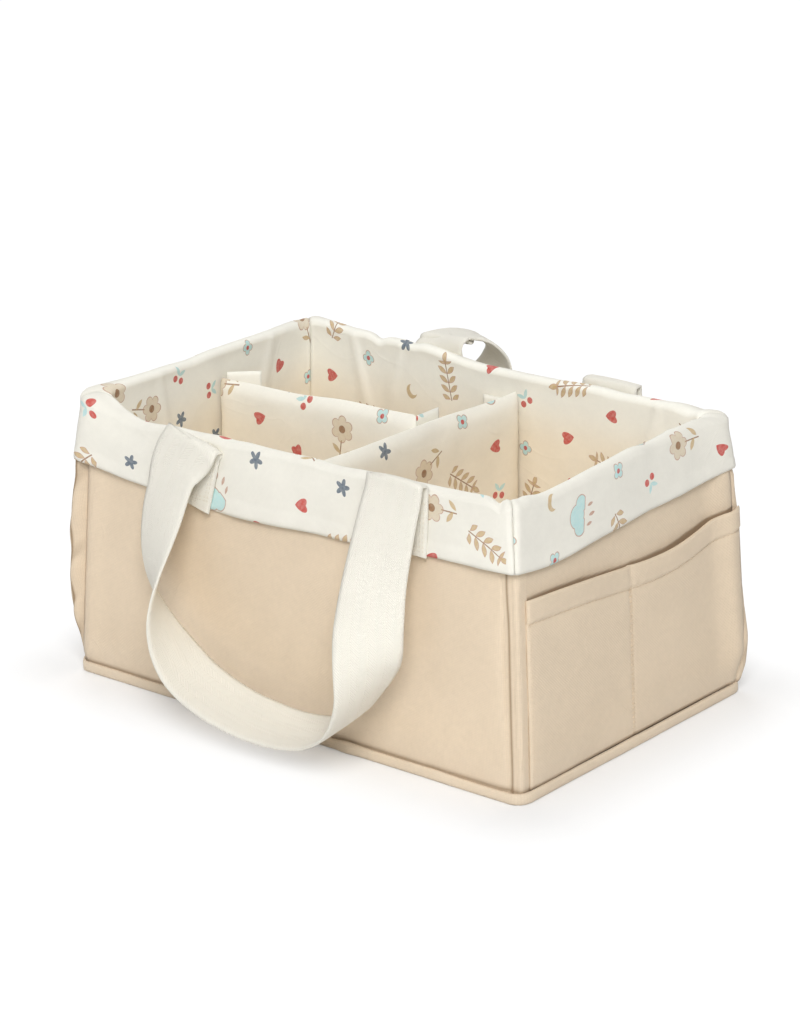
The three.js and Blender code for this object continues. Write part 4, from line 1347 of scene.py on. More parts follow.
def blown_up(piece, cap):
    """Even out the mesh, inflate it with the Cloth simulation, and keep each point near where it began."""
    remesh = piece.modifiers.new("remesh", "REMESH")
    remesh.mode = "VOXEL"
    remesh.voxel_size = 0.0042
    piece.data = applied(piece)
    piece.modifiers.clear()
    cloth = piece.modifiers.new("cloth", "CLOTH")
    cloth.settings.quality = 6
    cloth.settings.mass = 0.25
    cloth.settings.tension_stiffness = 22
    cloth.settings.compression_stiffness = 22
    cloth.settings.bending_stiffness = 1.2
    cloth.settings.use_pressure = True
    cloth.settings.uniform_pressure_force = 4.0
    cloth.settings.effector_weights.gravity = 0.0
    cloth.point_cache.frame_start, cloth.point_cache.frame_end = 1, BLOW_FRAMES
    for frame_number in range(1, BLOW_FRAMES + 1):
        bpy.context.scene.frame_set(frame_number)
    start, end = points_of(piece.data), points_of(applied(piece))
    piece.modifiers.clear()
    bpy.context.scene.frame_set(1)
    move = end - start
    far = np.linalg.norm(move, axis=1, keepdims=True)
    move *= np.minimum(1, cap * MM / np.maximum(far, 1e-9))
    piece.data.vertices.foreach_set("co", (start + move).reshape(-1))
    finer = piece.modifiers.new("finer", "SUBSURF")
    finer.levels = finer.render_levels = 1
    piece.data = applied(piece)
    piece.modifiers.clear()
    return float(far.max() / MM)


print("the simulation has", BLOW_FRAMES, "frames")

# %% [markdown]
# What comes out is then fitted to its place: dented a little, kept within the sleeve's greatest thickness,
# lifted or bent at one end, and given a print that runs the same way on both faces.

# %% Fit of a sleeve
def settle_sleeve(points, name, length, lift, bend):
    """Dent a blown up sleeve, fit it to its length, lift its top towards its end, and bend that end aside."""
    x, y, z = points.T
    dent = 0.35 * ripple(x, z, 131 + len(name), 30) + 0.25 * ripple(x, z, 137, 13)
    near_top = smooth(DIVIDER_HEIGHT - 26, DIVIDER_HEIGHT - 4, z)
    z += 0.9 * ripple(x, 0, 139 + len(name), 40) * near_top - 0.4
    y += np.sign(y) * dent * (1 - 0.6 * near_top)
    half = length / 2 - 0.15
    x *= half / np.abs(x).max()
    rise = lift * smooth(-half, half, x)
    z += rise * smooth(60, DIVIDER_HEIGHT, z)
    y[:] = np.clip(y, -SLEEVE_HALF, SLEEVE_HALF)
    z[:] = np.clip(z, 0.05, DIVIDER_HEIGHT + PAD_CAP + rise)
    y -= bend * smooth(0.1 * half, half, x)


def sleeve_uv(mesh, points, length, shift):
    """The print on a sleeve runs along each face from the same end, so it is turned round on the far face."""
    side_of = np.where(points[:, 1] >= 0, 1.0, -1.0)
    facing = np.repeat([np.sign(sum(side_of[v] for v in p.vertices) or 1.0) for p in mesh.polygons],
                       [p.loop_total for p in mesh.polygons])
    corner = corner_points(mesh)
    along = (points[:, 0] + length / 2)[corner] * facing
    give_uv(mesh, np.stack([along, points[corner, 2]], -1) + np.asarray(shift))


print("a sleeve's faces are kept", SLEEVE_HALF, "mm from its middle at most")

# %% Dividers
def divider_sleeve(body, length, centre, turn, shift, lift=0.0, bend=0.0):
    name = f"{body}_sleeve"
    piece = linked(name, pad_mesh(name, length - 2.0, PAD_START))
    moved = blown_up(piece, PAD_CAP)
    mesh = piece.data
    points = points_of(mesh) / MM
    settle_sleeve(points, name, length, lift, bend)
    placed = turned(points, turn) + np.array([*centre, DIVIDER_FOOT])
    mesh.vertices.foreach_set("co", (placed * MM).reshape(-1))
    sleeve_uv(mesh, points, length, shift)
    mesh.update()
    bpy.data.objects.remove(piece)
    piece = finished(name, mesh, lining, "lining")
    # The sleeve takes the painted light of the inside, by its height
    mark_painted_shading(piece, 1.0)
    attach(piece, body)
    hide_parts(body + "_cover")
    print(name, "pushed out by up to", round(moved, 2), "mm, kept to", PAD_CAP)


CROSS_X, CROSS_HALF = 12.0, 103.9
LONG_START, LONG_END, LONG_Y = -168.4, 7.2, 7.0
# The cross divider bends aside towards the back, and the long one's top rises towards the middle
BEND, RISE = 6.0, 5.0
divider_sleeve("cross_divider", 2 * CROSS_HALF, (CROSS_X, 0), math.pi / 2, (15, 520), bend=BEND)
long_middle = ((LONG_START + LONG_END) / 2, LONG_Y)
divider_sleeve("long_divider", LONG_END - LONG_START, long_middle, 0.0, (22, 733), lift=RISE)

# %% [markdown]
# ## Flaps and grip tapes
# A narrow flap of lining is sewn behind each end of a divider, and its tape grips a tape on the wall or on
# the other divider. The left flap of the long divider hangs open. They are small sheets whose free edge
# curls.

# %% Flaps and tapes
FLAP = dict(width=24.0, foot=30.0, height=146.0, gauge=1.5, material=lining, slot="lining")
LONG_FLAP = dict(FLAP, height=155.0)
TAPE = dict(width=18.0, foot=95.0, height=70.0, gauge=0.95, material=grip_tape, slot="tape")
TAPE_INSET = 3.0  # from a flap's seam to its tape


def upright_grid(foot, height, columns, rows):
    """Shares across and up a strip, and the height of each of its points."""
    vv, uu = np.meshgrid(np.linspace(0, 1, rows), np.linspace(0, 1, columns), indexing="ij")
    return uu, vv, foot + vv * height


def small_sheet(name, node, body, origin, across, outward, kind, curl=0.0, shift=(0, 0)):
    """A strip that stands upright from a place in plan, along one direction, and curls out to another."""
    width, height = kind["width"], kind["height"]
    uu, vv, z = upright_grid(kind["foot"], height, max(8, int(width / 1.6)), max(10, int(height / 3)))
    bow = curl * (uu**2) * (0.6 + 0.4 * np.sin(vv * 5.0 + len(name)))
    xy = np.array(origin) + np.array(across) * (uu[..., None] * width) + np.array(outward) * bow[..., None]
    middle = np.concatenate([xy, z[..., None]], -1)
    uv = np.stack([uu * width, vv * height], -1)
    piece = cloth_mesh(name, middle, kind["gauge"], kind["material"], kind["slot"], uv, shift)
    # A flap of lining takes the painted light of the inside, by its height
    if kind["slot"] == "lining":
        mark_painted_shading(piece, 1.0)
    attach(piece, body)
    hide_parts(node)


def wall_tape(name, node, side, start):
    """A loop tape sewn to a lining, from a place along its side."""
    width, height = TAPE["width"], TAPE["height"]
    uu, vv, z = upright_grid(TAPE["foot"], height, 12, 24)
    out = side.reach(z) - (INSIDE + GAP + 0.5)
    middle = turned(np.stack([start + uu * width, -out, z], -1), side.turn)
    uv = np.stack([uu * width, vv * height], -1)
    piece = cloth_mesh(name, middle, TAPE["gauge"], grip_tape, "tape", uv)
    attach(piece, "basket")
    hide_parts(node)


# Half a divider's thickness where a flap is sewn: it is 7 mm at its end and 9 mm from 14 mm on
flap_seat = (7 + 2 * (1 + GAP + 1.6) / 14) / 2
cross_flap_x = CROSS_X - flap_seat - GAP - FLAP["width"]
long_flap_y = LONG_Y + flap_seat + GAP
for end, sign, bent in (("front", -1, 0.0), ("back", 1, BEND)):
    seam = (cross_flap_x + bent + FLAP["width"], sign * (CROSS_HALF - 1.3 - 0.8))
    tape_start = (cross_flap_x + bent + TAPE_INSET, sign * (CROSS_HALF - 0.5))
    small_sheet(f"cross_flap_{end}", f"cross_divider_{end}_flap", "cross_divider",
                seam, (-1, 0), (0, -sign), FLAP, 0.5, (70 + 40 * sign, 610))
    small_sheet(f"cross_hook_{end}", f"cross_divider_{end}_hook_tape", "cross_divider",
                tape_start, (1, 0), (0, 1), TAPE)
wall_tape("front_wall_tape", "front_loop_tape", FRONT, cross_flap_x + TAPE_INSET)
wall_tape("back_wall_tape", "back_loop_tape", BACK, -cross_flap_x - TAPE_INSET - TAPE["width"])
wall_tape("left_wall_tape", "left_loop_tape", LEFT, -long_flap_y - TAPE_INSET - TAPE["width"])
print("the cross divider's flaps and the wall tapes made")

# %% [markdown]
# The long divider's left flap stands open at 45 degrees, with its tape on the outside. Its right flap lies
# along the cross divider and holds on the tape there.

# %% Flaps of the long divider
PEEL = math.radians(45)
FLAP_SEAM = np.array([LONG_START + 1.3 + 1.6, long_flap_y])
peel_along = np.array([math.sin(PEEL), math.cos(PEEL)])
peel_out = np.array([-math.cos(PEEL), math.sin(PEEL)])
left_flap = FLAP_SEAM + peel_along * 0.2 + peel_out * 0.8
left_tape = FLAP_SEAM + peel_along * TAPE_INSET + peel_out * 2.4
small_sheet("long_flap_left", "long_divider_left_flap", "long_divider",
            left_flap, peel_along, peel_out, LONG_FLAP, -1.2, (130, 655))
small_sheet("long_hook_left", "long_divider_left_hook_tape", "long_divider",
            left_tape, peel_along, peel_out, TAPE, -0.5)
# From the cross divider's face: its own tape, the hook tape and the flap
tape_y = long_flap_y + TAPE_INSET
small_sheet("cross_loop", "cross_divider_loop_tape", "cross_divider",
            (6.7, tape_y), (0, 1), (1, 0), TAPE)
small_sheet("long_hook_right", "long_divider_right_hook_tape", "long_divider",
            (5.4, tape_y), (0, 1), (1, 0), TAPE)
small_sheet("long_flap_right", "long_divider_right_flap", "long_divider",
            (3.8, long_flap_y), (0, 1), (-1, 0), LONG_FLAP, 0.6, (200, 655))
print("the long divider's flaps and tapes made")

# %% [markdown]
# ## Handles
# Each handle is one length of webbing. Both ends are sewn flat on the cuff, the webbing folds over the rim
# and hangs outside in a limp, slightly uneven loop that turns as it goes, so that it lies flat across the
# bottom. The route is the imported model's; the fold over the rim is added here. The sewn ends and the loop
# are one piece.

# %% Handle route
HINGE_REACH, HINGE_HEIGHT = 119.107, 193.0
STRAP_W, STRAP_T, SPREAD, REACH, DROP = 44.0, 2.4, 81.0, 40.0, 171.0
# The free loop from its left end to its right: how far it lies aside, out and down, in shares of SPREAD,
# REACH and DROP, and how far it has turned, in quarter turns
ROUTE = {
    "spread": [-1, -1, -1.08, -1.17, -1.13, -0.95, -0.67, -0.31, 0.07, 0.44,
               0.77, 1.03, 1.2, 1.25, 1.2, 1.1, 1.03, 1, 1],
    "reach": [0, 0.03, 0.08, 0.37, 0.68, 0.89, 0.99, 0.98, 0.935, 0.9,
              0.905, 0.97, 1.04, 1.03, 0.87, 0.47, 0.12, 0.03, 0],
    "drop": [0, 0.06, 0.165, 0.34, 0.54, 0.73, 0.875, 0.96, 1, 1.005,
             0.97, 0.885, 0.755, 0.63, 0.515, 0.36, 0.195, 0.06, 0],
    "twist": [0, 0, 0.06, 0.16, 0.39, 0.69, 0.9, 0.98, 1, 1,
              1.01, 1.05, 1.16, 1.38, 1.61, 1.84, 1.95, 2, 2],
}


def through(points, per_span):
    """A centripetal curve through points, with the last columns carried along."""
    p = np.asarray(points, float)
    p = np.concatenate([[2 * p[0] - p[1]], p, [2 * p[-1] - p[-2]]])
    made = []
    for a, b, c, d in zip(p, p[1:], p[2:], p[3:]):
        t0, t1, t2 = (max(np.linalg.norm(q[:3] - r[:3]) ** 0.5, 1e-3) for q, r in ((a, b), (b, c), (c, d)))
        m1 = (b - a) / t0 - (c - a) / (t0 + t1) + (c - b) / t1
        m2 = (c - b) / t1 - (d - b) / (t1 + t2) + (d - c) / t2
        for k in range(per_span):
            f = k / per_span
            h = (2 * f**3 - 3 * f**2 + 1, f**3 - 2 * f**2 + f, -2 * f**3 + 3 * f**2, f**3 - f**2)
            made.append(h[0] * b + h[1] * m1 * t1 + h[2] * c + h[3] * m2 * t1)
    made.append(p[-2])
    return np.array(made)


print("a handle's loop has", len(ROUTE["spread"]), "places")

# %% [markdown]
# A sewn end lies on the cuff, leans with its leg, and rises to a crest over the rim, where the webbing is
# free. The crest may droop at its edges, turn in plan and tilt.

# %% Sewn ends
TAB_ROWS = 14
HEM_CLEAR, RIM_CLEAR = 1.0, 4.0  # how far a sewn end starts above the cuff's hem and stays below the rim


def tab_out(side, across, z):
    """How far out the middle of a sewn end lies, on top of the cuff."""
    share = across / side.run(0)
    centre, hem = rim_line(side, share) - ROLL, cuff_hem(side, share)
    fall = np.clip((centre - z) / (centre - hem), 0, 1)
    return side.reach(z) + cuff_stand(side, share, fall) + LINING / 2 + 0.1 + STRAP_T / 2


class End:
    """A sewn end: its middle at the hem and at the rim, how far its fold rises, goes out and droops, in mm,
    its turn in plan in degrees, and its tilt."""

    def __init__(self, at_hem, at_rim, rise, out, droop, swing=0.0, tilt=0.0):
        self.at_hem, self.at_rim, self.rise, self.out, self.droop = at_hem, at_rim, rise, out, droop
        self.swing, self.tilt = math.radians(swing), tilt

    def span(self, side):
        """The height of its raw edge and of the rim over it."""
        hem = float(cuff_hem(side, np.array(self.at_hem / side.run(0)))) + HEM_CLEAR
        return hem, float(rim_line(side, np.array(self.at_rim / side.run(0))))


def tab_middle(side, end, z, hem, rim):
    """Where the middle line of a sewn end runs: along the side and out, for each height."""
    along = end.at_hem + (end.at_rim - end.at_hem) * (z - hem) / (rim - hem)
    return along, np.array([float(tab_out(side, np.array(a), h)) for a, h in zip(along, z)])


def sewn_end(side, end, turn):
    """Rows of an end from its raw edge to the crest, each of 8 numbers: its place, the way across it, how far
    its edges droop, and 1 where it is sewn, falling to -1 where it is free."""
    hem, rim = end.span(side)
    lean = math.atan2(end.at_rim - end.at_hem, rim - hem)
    across = [turn * math.cos(lean), 0.0, -turn * math.sin(lean)]
    top = rim - RIM_CLEAR - 20 * abs(math.sin(lean) + end.tilt) + min(end.rise, 0.0)
    z = np.linspace(hem, top, TAB_ROWS)
    x, out = tab_middle(side, end, z, hem, rim)
    rows = [[a, -o, h, *across, 0.0, 1.0] for a, o, h in zip(x, out, z)]
    crest = [turn * math.cos(end.swing), -math.sin(end.swing), turn * end.tilt]
    between = [(a + b) / 2 for a, b in zip(across, crest)]
    if abs(lean) < 0.1:
        rows.append([end.at_rim, -(out[-1] - 0.1), rim + end.rise * 0.3, *between, end.droop / 2, 0.2])
    rows.append([end.at_rim, -(out[-1] + end.out * 0.4), rim + end.rise * 0.85, *crest, end.droop, 0.0])
    rows.append([end.at_rim, -(out[-1] + end.out), rim + end.rise, *crest, end.droop, -1.0])
    return rows


print("the webbing sewn on the front lies", round(float(tab_out(FRONT, np.array(84.0), 170.0)), 1), "mm out")

# %% [markdown]
# The handle itself is one sheet along that line. What is sewn is laid on the cuff, and what hangs free is led
# clear of the fold, so that the whole stretch between basket and handle lies in one narrow band when it
# swings.

# %% Handle
HANG_TILT = math.radians(12)
LOOSE_END = 60, 110  # mm of webbing from its ends over which it starts to cup
FOLD_REACH = 5.6  # how far out of the wall the fold's band starts
FREE_CLEAR = 4.0  # how far along the fold's direction free webbing stays
BLEND = 0.2, 2.6  # where the handle would take over from the basket, in mm along the fold; worked out but not used


def webbing_middle(side, line, seed):
    """The grid for the middle of a webbing, the shares of its columns and its length at each row."""
    centre, across, droop, sewn = line[:, :3], line[:, 3:6], line[:, 6], np.clip(line[:, 7], 0, 1)
    tangent = np.gradient(centre, axis=0)
    tangent /= np.linalg.norm(tangent, axis=1, keepdims=True)
    across = across - (across * tangent).sum(1, keepdims=True) * tangent
    across /= np.linalg.norm(across, axis=1, keepdims=True)
    normal = np.cross(across, tangent)
    shares = np.linspace(-1, 1, 15)
    length = running(np.linalg.norm(np.diff(centre, axis=0), axis=1))
    low, high = LOOSE_END
    loop = smooth(low, high, length) * (1 - smooth(length[-1] - high, length[-1] - low, length))
    cup = 0.9 * shares[None, :] ** 2 + 0.35 * ripple(length[:, None], shares[None, :] * 22, seed, 26)
    wide = across[:, None, :] * shares[None, :, None] * STRAP_W / 2
    middle = centre[:, None, :] + wide + normal[:, None, :] * (cup * loop[:, None])[..., None]
    middle[..., 2] -= droop[:, None] * shares[None, :] ** 2
    lying = -tab_out(side, middle[..., 0], middle[..., 2])
    middle[..., 1] += (lying - middle[..., 1]) * sewn[:, None]
    return middle, shares, length


def handle(side, name, ends, route, seed):
    """The whole webbing of one handle, drawn on the front and turned to its side."""
    left, right = sewn_end(side, ends[0], 1), sewn_end(side, ends[1], -1)[::-1]
    hang = math.cos(HANG_TILT), math.sin(HANG_TILT)
    hanging = [[x, y, z, math.cos(t), -math.sin(t) * hang[0], -math.sin(t) * hang[1], 0.0, -1.0]
               for x, y, z, t in route]
    line = through(np.array(left + hanging + right), 7)
    middle, shares, length = webbing_middle(side, line, seed)
    lean = SIDE_LEAN / HEIGHT
    direction = np.array([0.0, -1.0, lean]) / math.hypot(1, lean)
    foot = np.array([0.0, -(half_width(HINGE_HEIGHT) + FOLD_REACH), HINGE_HEIGHT])
    loose = smooth(0.0, 1.0, -line[:, 7])
    short = np.maximum(0, FREE_CLEAR - (middle - foot) @ direction) * loose[:, None]
    print(name, "moved clear of the fold by up to", round(float(short.max()), 1), "mm")
    middle += short[..., None] * direction
    gauge = STRAP_T * (1 - 0.35 * smooth(0.88, 1.0, np.abs(shares)))[None, :]
    uv = spread_out(shares * STRAP_W / 2, length)
    piece = cloth_mesh(name, turned(middle, side.turn), gauge, webbing, "webbing", uv)
    node, long = side.name + "_handle", float(length[-1])
    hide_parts(f"{node}_strap", f"{node}_left_end", f"{node}_right_end")
    start, end = (tuple(turned((foot + direction * reach)[None], side.turn)[0] * MM) for reach in BLEND)
    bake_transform(piece)
    print(name, "is", round(long), "mm of webbing")


# %% [markdown]
# The front handle hangs as in the photograph: its left leg leans out and twists as it falls, the right one
# hangs straighter. The back handle is the same webbing, but its leg on the left of the picture is pushed up
# by its own stiffness and stands in an arch over the rim before it falls behind.

# %% Handles
QUARTER_TURN = math.pi / 2
ROUTE_POINTS = np.stack([
    np.array(ROUTE["spread"]) * SPREAD,
    -HINGE_REACH - np.array(ROUTE["reach"]) * REACH,
    HINGE_HEIGHT - np.array(ROUTE["drop"]) * DROP,
    np.array(ROUTE["twist"]) * QUARTER_TURN,
], -1)
# Places in mm and quarter turns: the top of the front's left leg, and the arch of the back's right leg
LEFT_TOP = np.array([[-90, -123, 165, 0.10]])
ARCH = np.array([[96, -161, 105, 1.50], [78, -159, 130, 1.75], [51, -156, 155, 2.05], [35, -152, 176, 2.25],
                 [32, -147, 192, 2.40], [40, -138, 203, 2.42]])
IN_RADIANS = [1, 1, 1, QUARTER_TURN]
FRONT_ENDS = [End(-88, -77, -2.2, 3.2, 2.2, 0, -0.18), End(93, 93, 4.0, 2.4, 1.2)]
BACK_ENDS = [End(-84, -86, 2.6, 1.6, 0.5), End(72, 58, 6.0, 9.0, 2.0, -22)]
front_route = np.concatenate([LEFT_TOP * IN_RADIANS, ROUTE_POINTS[3:-3]])
back_route = np.concatenate([ROUTE_POINTS[2:13], ARCH * IN_RADIANS])
handle(FRONT, "front_handle_webbing", FRONT_ENDS, front_route, 141)
handle(BACK, "back_handle_webbing", BACK_ENDS, back_route, 147)

# %% [markdown]
# ## Stitches
# Each seam that shows is a row of single stitches, a little sunk in the cloth. Geometry Nodes lay them: a
# line is cut into even steps, a small grain is put on each, turned along the line with its flat side to the
# cloth, and the result is made real. The line's own attribute gives the way out of the cloth.

# %% Stitch tree
def stitch_tree():
    tree = bpy.data.node_groups.new("row of stitches", "GeometryNodeTree")
    sockets = [("Geometry", "Geometry", None), ("Pitch", "Float", 0.0032), ("Length", "Float", 0.0023),
               ("Thickness", "Float", 0.00055), ("Jitter", "Float", 0.12), ("Seed", "Int", 1),
               ("Thread", "Material", None)]
    for label, kind, default in sockets:
        socket = tree.interface.new_socket(label, in_out="INPUT", socket_type="NodeSocket" + kind)
        if default is not None:
            socket.default_value = default
    tree.interface.new_socket("Geometry", in_out="OUTPUT", socket_type="NodeSocketGeometry")

    def node(kind, **values):
        return fed(tree, tree.nodes.new(kind), **values)

    given = tree.nodes.new("NodeGroupInput").outputs
    curve = node("GeometryNodeMeshToCurve", Mesh=given["Geometry"])
    even = tree.nodes.new("GeometryNodeResampleCurve")
    even.mode = "LENGTH"
    fed(tree, even, Curve=curve.outputs[0], Length=given["Pitch"])
    grain = node("GeometryNodeMeshUVSphere", Segments=6, Rings=5, Radius=0.5)
    size = node("ShaderNodeCombineXYZ", X=given["Length"], Y=given["Thickness"], Z=given["Thickness"])
    along = node("FunctionNodeAlignRotationToVector", Vector=node("GeometryNodeInputTangent").outputs[0])
    along.axis = "X"
    way_out = tree.nodes.new("GeometryNodeInputNamedAttribute")
    way_out.data_type = "FLOAT_VECTOR"
    fed(tree, way_out, Name="way_out")
    upright = node("FunctionNodeAlignRotationToVector", Rotation=along.outputs[0],
                   Vector=way_out.outputs["Attribute"])
    upright.axis, upright.pivot_axis = "Z", "X"
    chance = tree.nodes.new("FunctionNodeRandomValue")
    chance.data_type = "FLOAT_VECTOR"
    jitter = given["Jitter"]
    fed(tree, chance, Min=math_in(tree)("MULTIPLY", jitter, -1.0), Max=jitter, Seed=given["Seed"])
    level = node("FunctionNodeRotationToEuler", Rotation=upright.outputs[0])
    loose = node("FunctionNodeRotateEuler", Rotation=level.outputs[0], Rotate_By=chance.outputs[0])
    lay = node("GeometryNodeInstanceOnPoints", Points=even.outputs[0], Instance=grain.outputs["Mesh"],
               Rotation=loose.outputs[0], Scale=size.outputs[0])
    real = node("GeometryNodeRealizeInstances", Geometry=lay.outputs[0])
    dye = node("GeometryNodeSetMaterial", Geometry=real.outputs[0], Material=given["Thread"])
    node("NodeGroupOutput", Geometry=dye.outputs[0])
    return tree


STITCHES = stitch_tree()
print("stitch inputs:", [s.name for s in STITCHES.interface.items_tree if s.in_out == "INPUT"])

# %% [markdown]
# A seam is given to the tree as rows of points in millimetres with the way out of the cloth at each point.
# All seams of one thread that ride on one body become one piece.

# %% Sewing
GRAIN_FACES = 30  # the faces of one stitch


def sew(name, seams, thread, body, pitch=3.2, length=2.3, thickness=0.55, seed=1):
    """Make one piece of stitches from seams, each a pair of points (n, 3) and ways out (n, 3), in mm."""
    points = np.concatenate([places for places, _ in seams]) * MM
    outs = np.concatenate([ways for _, ways in seams])
    edges, at = [], 0
    for places, _ in seams:
        edges += [(at + i, at + i + 1) for i in range(len(places) - 1)]
        at += len(places)
    mesh = bpy.data.meshes.new(name)
    mesh.from_pydata(points.tolist(), edges, [])
    attribute = mesh.attributes.new("way_out", "FLOAT_VECTOR", "POINT")
    attribute.data.foreach_set("vector", outs.astype(float).reshape(-1))
    line = linked(name + "_line", mesh)
    modifier = line.modifiers.new("stitches", "NODES")
    modifier.node_group = STITCHES
    names = {s.name: s.identifier for s in STITCHES.interface.items_tree if s.in_out == "INPUT"}
    values = dict(Pitch=pitch * MM, Length=length * MM, Thickness=thickness * MM, Seed=seed, Thread=thread)
    for label, value in values.items():
        modifier[names[label]] = value
    result = applied(line)
    line.modifiers.clear()
    bpy.data.objects.remove(line)
    result.name = name
    result.polygons.foreach_set("use_smooth", [True] * len(result.polygons))
    result.materials.clear()
    result.materials.append(thread)
    piece = linked(name, result)
    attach(piece, body)
    print(name, "has", len(result.polygons) // GRAIN_FACES, "stitches")


def seam_on(side, across, out, z):
    """A seam on a side, given across, out and height for each point."""
    across, out, z = np.broadcast_arrays(np.asarray(across, float), out, z)
    points = turned(np.stack([across, -out, z], -1), side.turn)
    ways = turned(np.broadcast_to([0.0, -1.0, 0.06], points.shape), side.turn)
    return points, ways


print("sewing ready, with thread of", sand_thread.name, "and", cream_thread.name)

# %% [markdown]
# The canvas is sewn with sand thread: along each pocket's hem, down its middle and beside its edges, and
# along the binding.

# %% Seams of the canvas
SEAM_POINTS = 60
ON_CLOTH = 1.5  # from a pocket's back to a thread that lies on its canvas
ON_HEM = 1.62  # to one on a doubled edge


def pocket_seam(side, share, z, lies):
    """A seam on a pocket, at shares from -1 to 1 and heights."""
    out = side.reach(z) + pocket_stand(side, share, z) + lies
    return seam_on(side, pocket_across(side, share, z), out, z)


def pocket_seams(side):
    share = np.linspace(-0.985, 0.985, 90)
    seams = [pocket_seam(side, share, pocket_mouth(side, share) - HEM_DEPTH, ON_HEM)]
    z = np.linspace(10, 118, SEAM_POINTS)
    for offset in (-0.9, 0.9):
        share = offset / (side.run(z) - STRIP_ARM - GAP)
        out = side.reach(z) + pocket_stand(side, share, z) + ON_CLOTH
        seams.append(seam_on(side, offset, out, z))
    z = np.linspace(10, 126, SEAM_POINTS)
    return seams + [pocket_seam(side, np.full(SEAM_POINTS, edge), z, ON_HEM) for edge in (-0.975, 0.975)]


def binding_seam():
    """A seam along the top of the binding."""
    width, height = binding_size(foot_outs, foot_places)
    spots = foot_spots + foot_outs * (GAP + 0.62 * width)[:, None]
    points = np.concatenate([spots, (height + 0.02)[:, None]], 1)
    return points, np.concatenate([foot_outs * 0.1, np.ones((BIND_STEPS, 1))], 1)


sand_seams = [*pocket_seams(RIGHT), *pocket_seams(LEFT), binding_seam()]
sew("canvas_stitches", sand_seams, sand_thread, "basket")

# %% [markdown]
# Cream thread holds the sewn ends of the handles, in a box with two rows along each edge.

# %% Seams of the handles
EDGE_ROWS = (-19.5, -17.2, 17.2, 19.5)  # across the webbing
EDGE_CLEAR = 4.0  # from the raw edge to the first stitch


def tab_seams(side, end):
    hem, rim = end.span(side)
    rim -= RIM_CLEAR

    def row(first, last, low, high, count):
        offset, z = np.linspace(first, last, count), np.linspace(low, high, count)
        middle, out = tab_middle(side, end, z, hem, rim)
        return seam_on(side, middle + offset, out + STRAP_T / 2 + 0.02, z)

    low, high = hem + EDGE_CLEAR, rim - 5
    seams = [row(at, at, low, high, 30) for at in EDGE_ROWS]
    return seams + [row(EDGE_ROWS[0], EDGE_ROWS[-1], h, h, 20) for h in (low, hem + 6.4, high)]


sewn_ends = [(side, end) for side, ends in ((FRONT, FRONT_ENDS), (BACK, BACK_ENDS)) for end in ends]
tab_rows = [seam for side, end in sewn_ends for seam in tab_seams(side, end)]
sew("handle_stitches", tab_rows, cream_thread, "basket", pitch=3.0, thickness=0.6, seed=5)

# %% [markdown]
# ## Boards
# The boards in the walls, under the floor and in the dividers are pressed felt. They are hidden in the
# finished basket but are kept, so they get their own finish and their shapes stay as imported.

# %% Felt on the boards
boards = [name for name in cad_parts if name.endswith(("_board", "_core"))]
for name in boards:
    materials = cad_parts[name].data.materials
    materials.clear()
    materials.append(felt)
print("boards finished:", boards)

# %% [markdown]
# ## Floor and light
# The photograph is a studio shot on white: a pale floor that fades into the background and keeps a soft
# shadow, a broad light from the front left and an even fill. The floor shows white to the camera and keeps
# part of its own shading, most of it close to the foot, so the shadow stays. The light is plain, so that a
# colour renders about as it is written.

# %% Floor
WHITE = 1.08
FADE = -0.01, 0.09  # metres from the foot between which the paper's own shading fades
FADE_WHITE = 0.15, 0.9  # how much plain white shows at those
FLOOR_HALF = 8.0  # metres


def from_foot(tree):
    """How far a place on the floor lies outside the basket's foot, in metres."""
    foot = (half_length(0) * MM, half_width(0) * MM, 0.0)
    aside = tree.nodes.new("ShaderNodeTexCoord").outputs["Object"]
    steps = (("ABSOLUTE", None), ("SUBTRACT", foot), ("MAXIMUM", (0, 0, 0)), ("LENGTH", None))
    for operation, other in steps:
        step = tree.nodes.new("ShaderNodeVectorMath")
        step.operation = operation
        joined(tree, step.inputs[0], aside)
        joined(tree, step.inputs[1], other)
        aside = step.outputs["Value" if operation == "LENGTH" else "Vector"]
    return aside


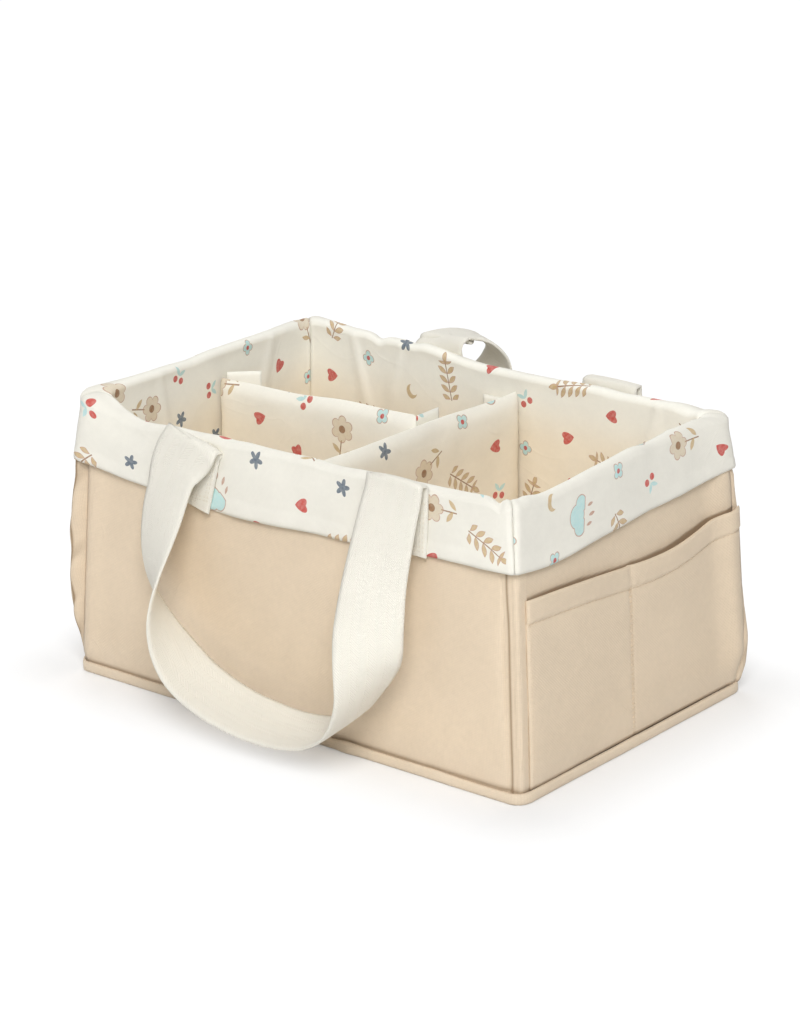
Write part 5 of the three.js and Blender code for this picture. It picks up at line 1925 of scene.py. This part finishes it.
def studio_floor():
    material = bpy.data.materials.new("studio floor")
    material.use_nodes = True
    tree = material.node_tree
    tree.nodes.clear()
    paper = fed(tree, tree.nodes.new("ShaderNodeBsdfDiffuse"), Color=(0.9, 0.9, 0.9, 1))
    white = fed(tree, tree.nodes.new("ShaderNodeEmission"), Strength=WHITE)
    fade = smooth_step_in(tree, from_foot(tree), *FADE, *FADE_WHITE)
    share = math_in(tree)("MULTIPLY", looked_at(tree), fade)
    mix = tree.nodes.new("ShaderNodeMixShader")
    for socket, value in zip(mix.inputs, (share, paper.outputs[0], white.outputs[0])):
        joined(tree, socket, value)
    fed(tree, tree.nodes.new("ShaderNodeOutputMaterial"), Surface=mix.outputs[0])
    mesh = bpy.data.meshes.new("floor")
    corners = [(x * FLOOR_HALF, y * FLOOR_HALF, 0) for x, y in ((-1, -1), (1, -1), (1, 1), (-1, 1))]
    mesh.from_pydata(corners, [], [(0, 1, 2, 3)])
    mesh.materials.append(material)
    floor = linked("floor", mesh)
    return floor


floor = studio_floor()
print("floor at z", floor.location.z)

# %% Light
AIM, LAMP_SIZE = (0, 0, 0.1), 1.8  # metres
SKY, SKY_SEEN = 0.28, 0.76  # the fill, and how much brighter it shows to the camera


def soft_lamp(name, place, power):
    data = bpy.data.lights.new(name, "AREA")
    data.shape = "DISK"
    data.size = LAMP_SIZE
    data.energy = power
    lamp = linked(name, data)
    lamp.location = place
    lamp.rotation_euler = (Vector(AIM) - Vector(place)).to_track_quat("-Z", "Y").to_euler()


world = bpy.data.worlds.new("studio")
bpy.context.scene.world = world
world.use_nodes = True
sky = world.node_tree
strength = math_in(sky)("MULTIPLY_ADD", looked_at(sky), SKY_SEEN, SKY)
fed(sky, sky.nodes["Background"], Color=(1, 1, 1, 1), Strength=strength)
soft_lamp("key", (1.6, -2.0, 2.4), 84)
soft_lamp("fill", (-1.0, -2.6, 2.4), 8)
soft_lamp("back", (-1.8, 1.4, 2.2), 25)
bpy.context.scene.view_settings.view_transform = "Standard"
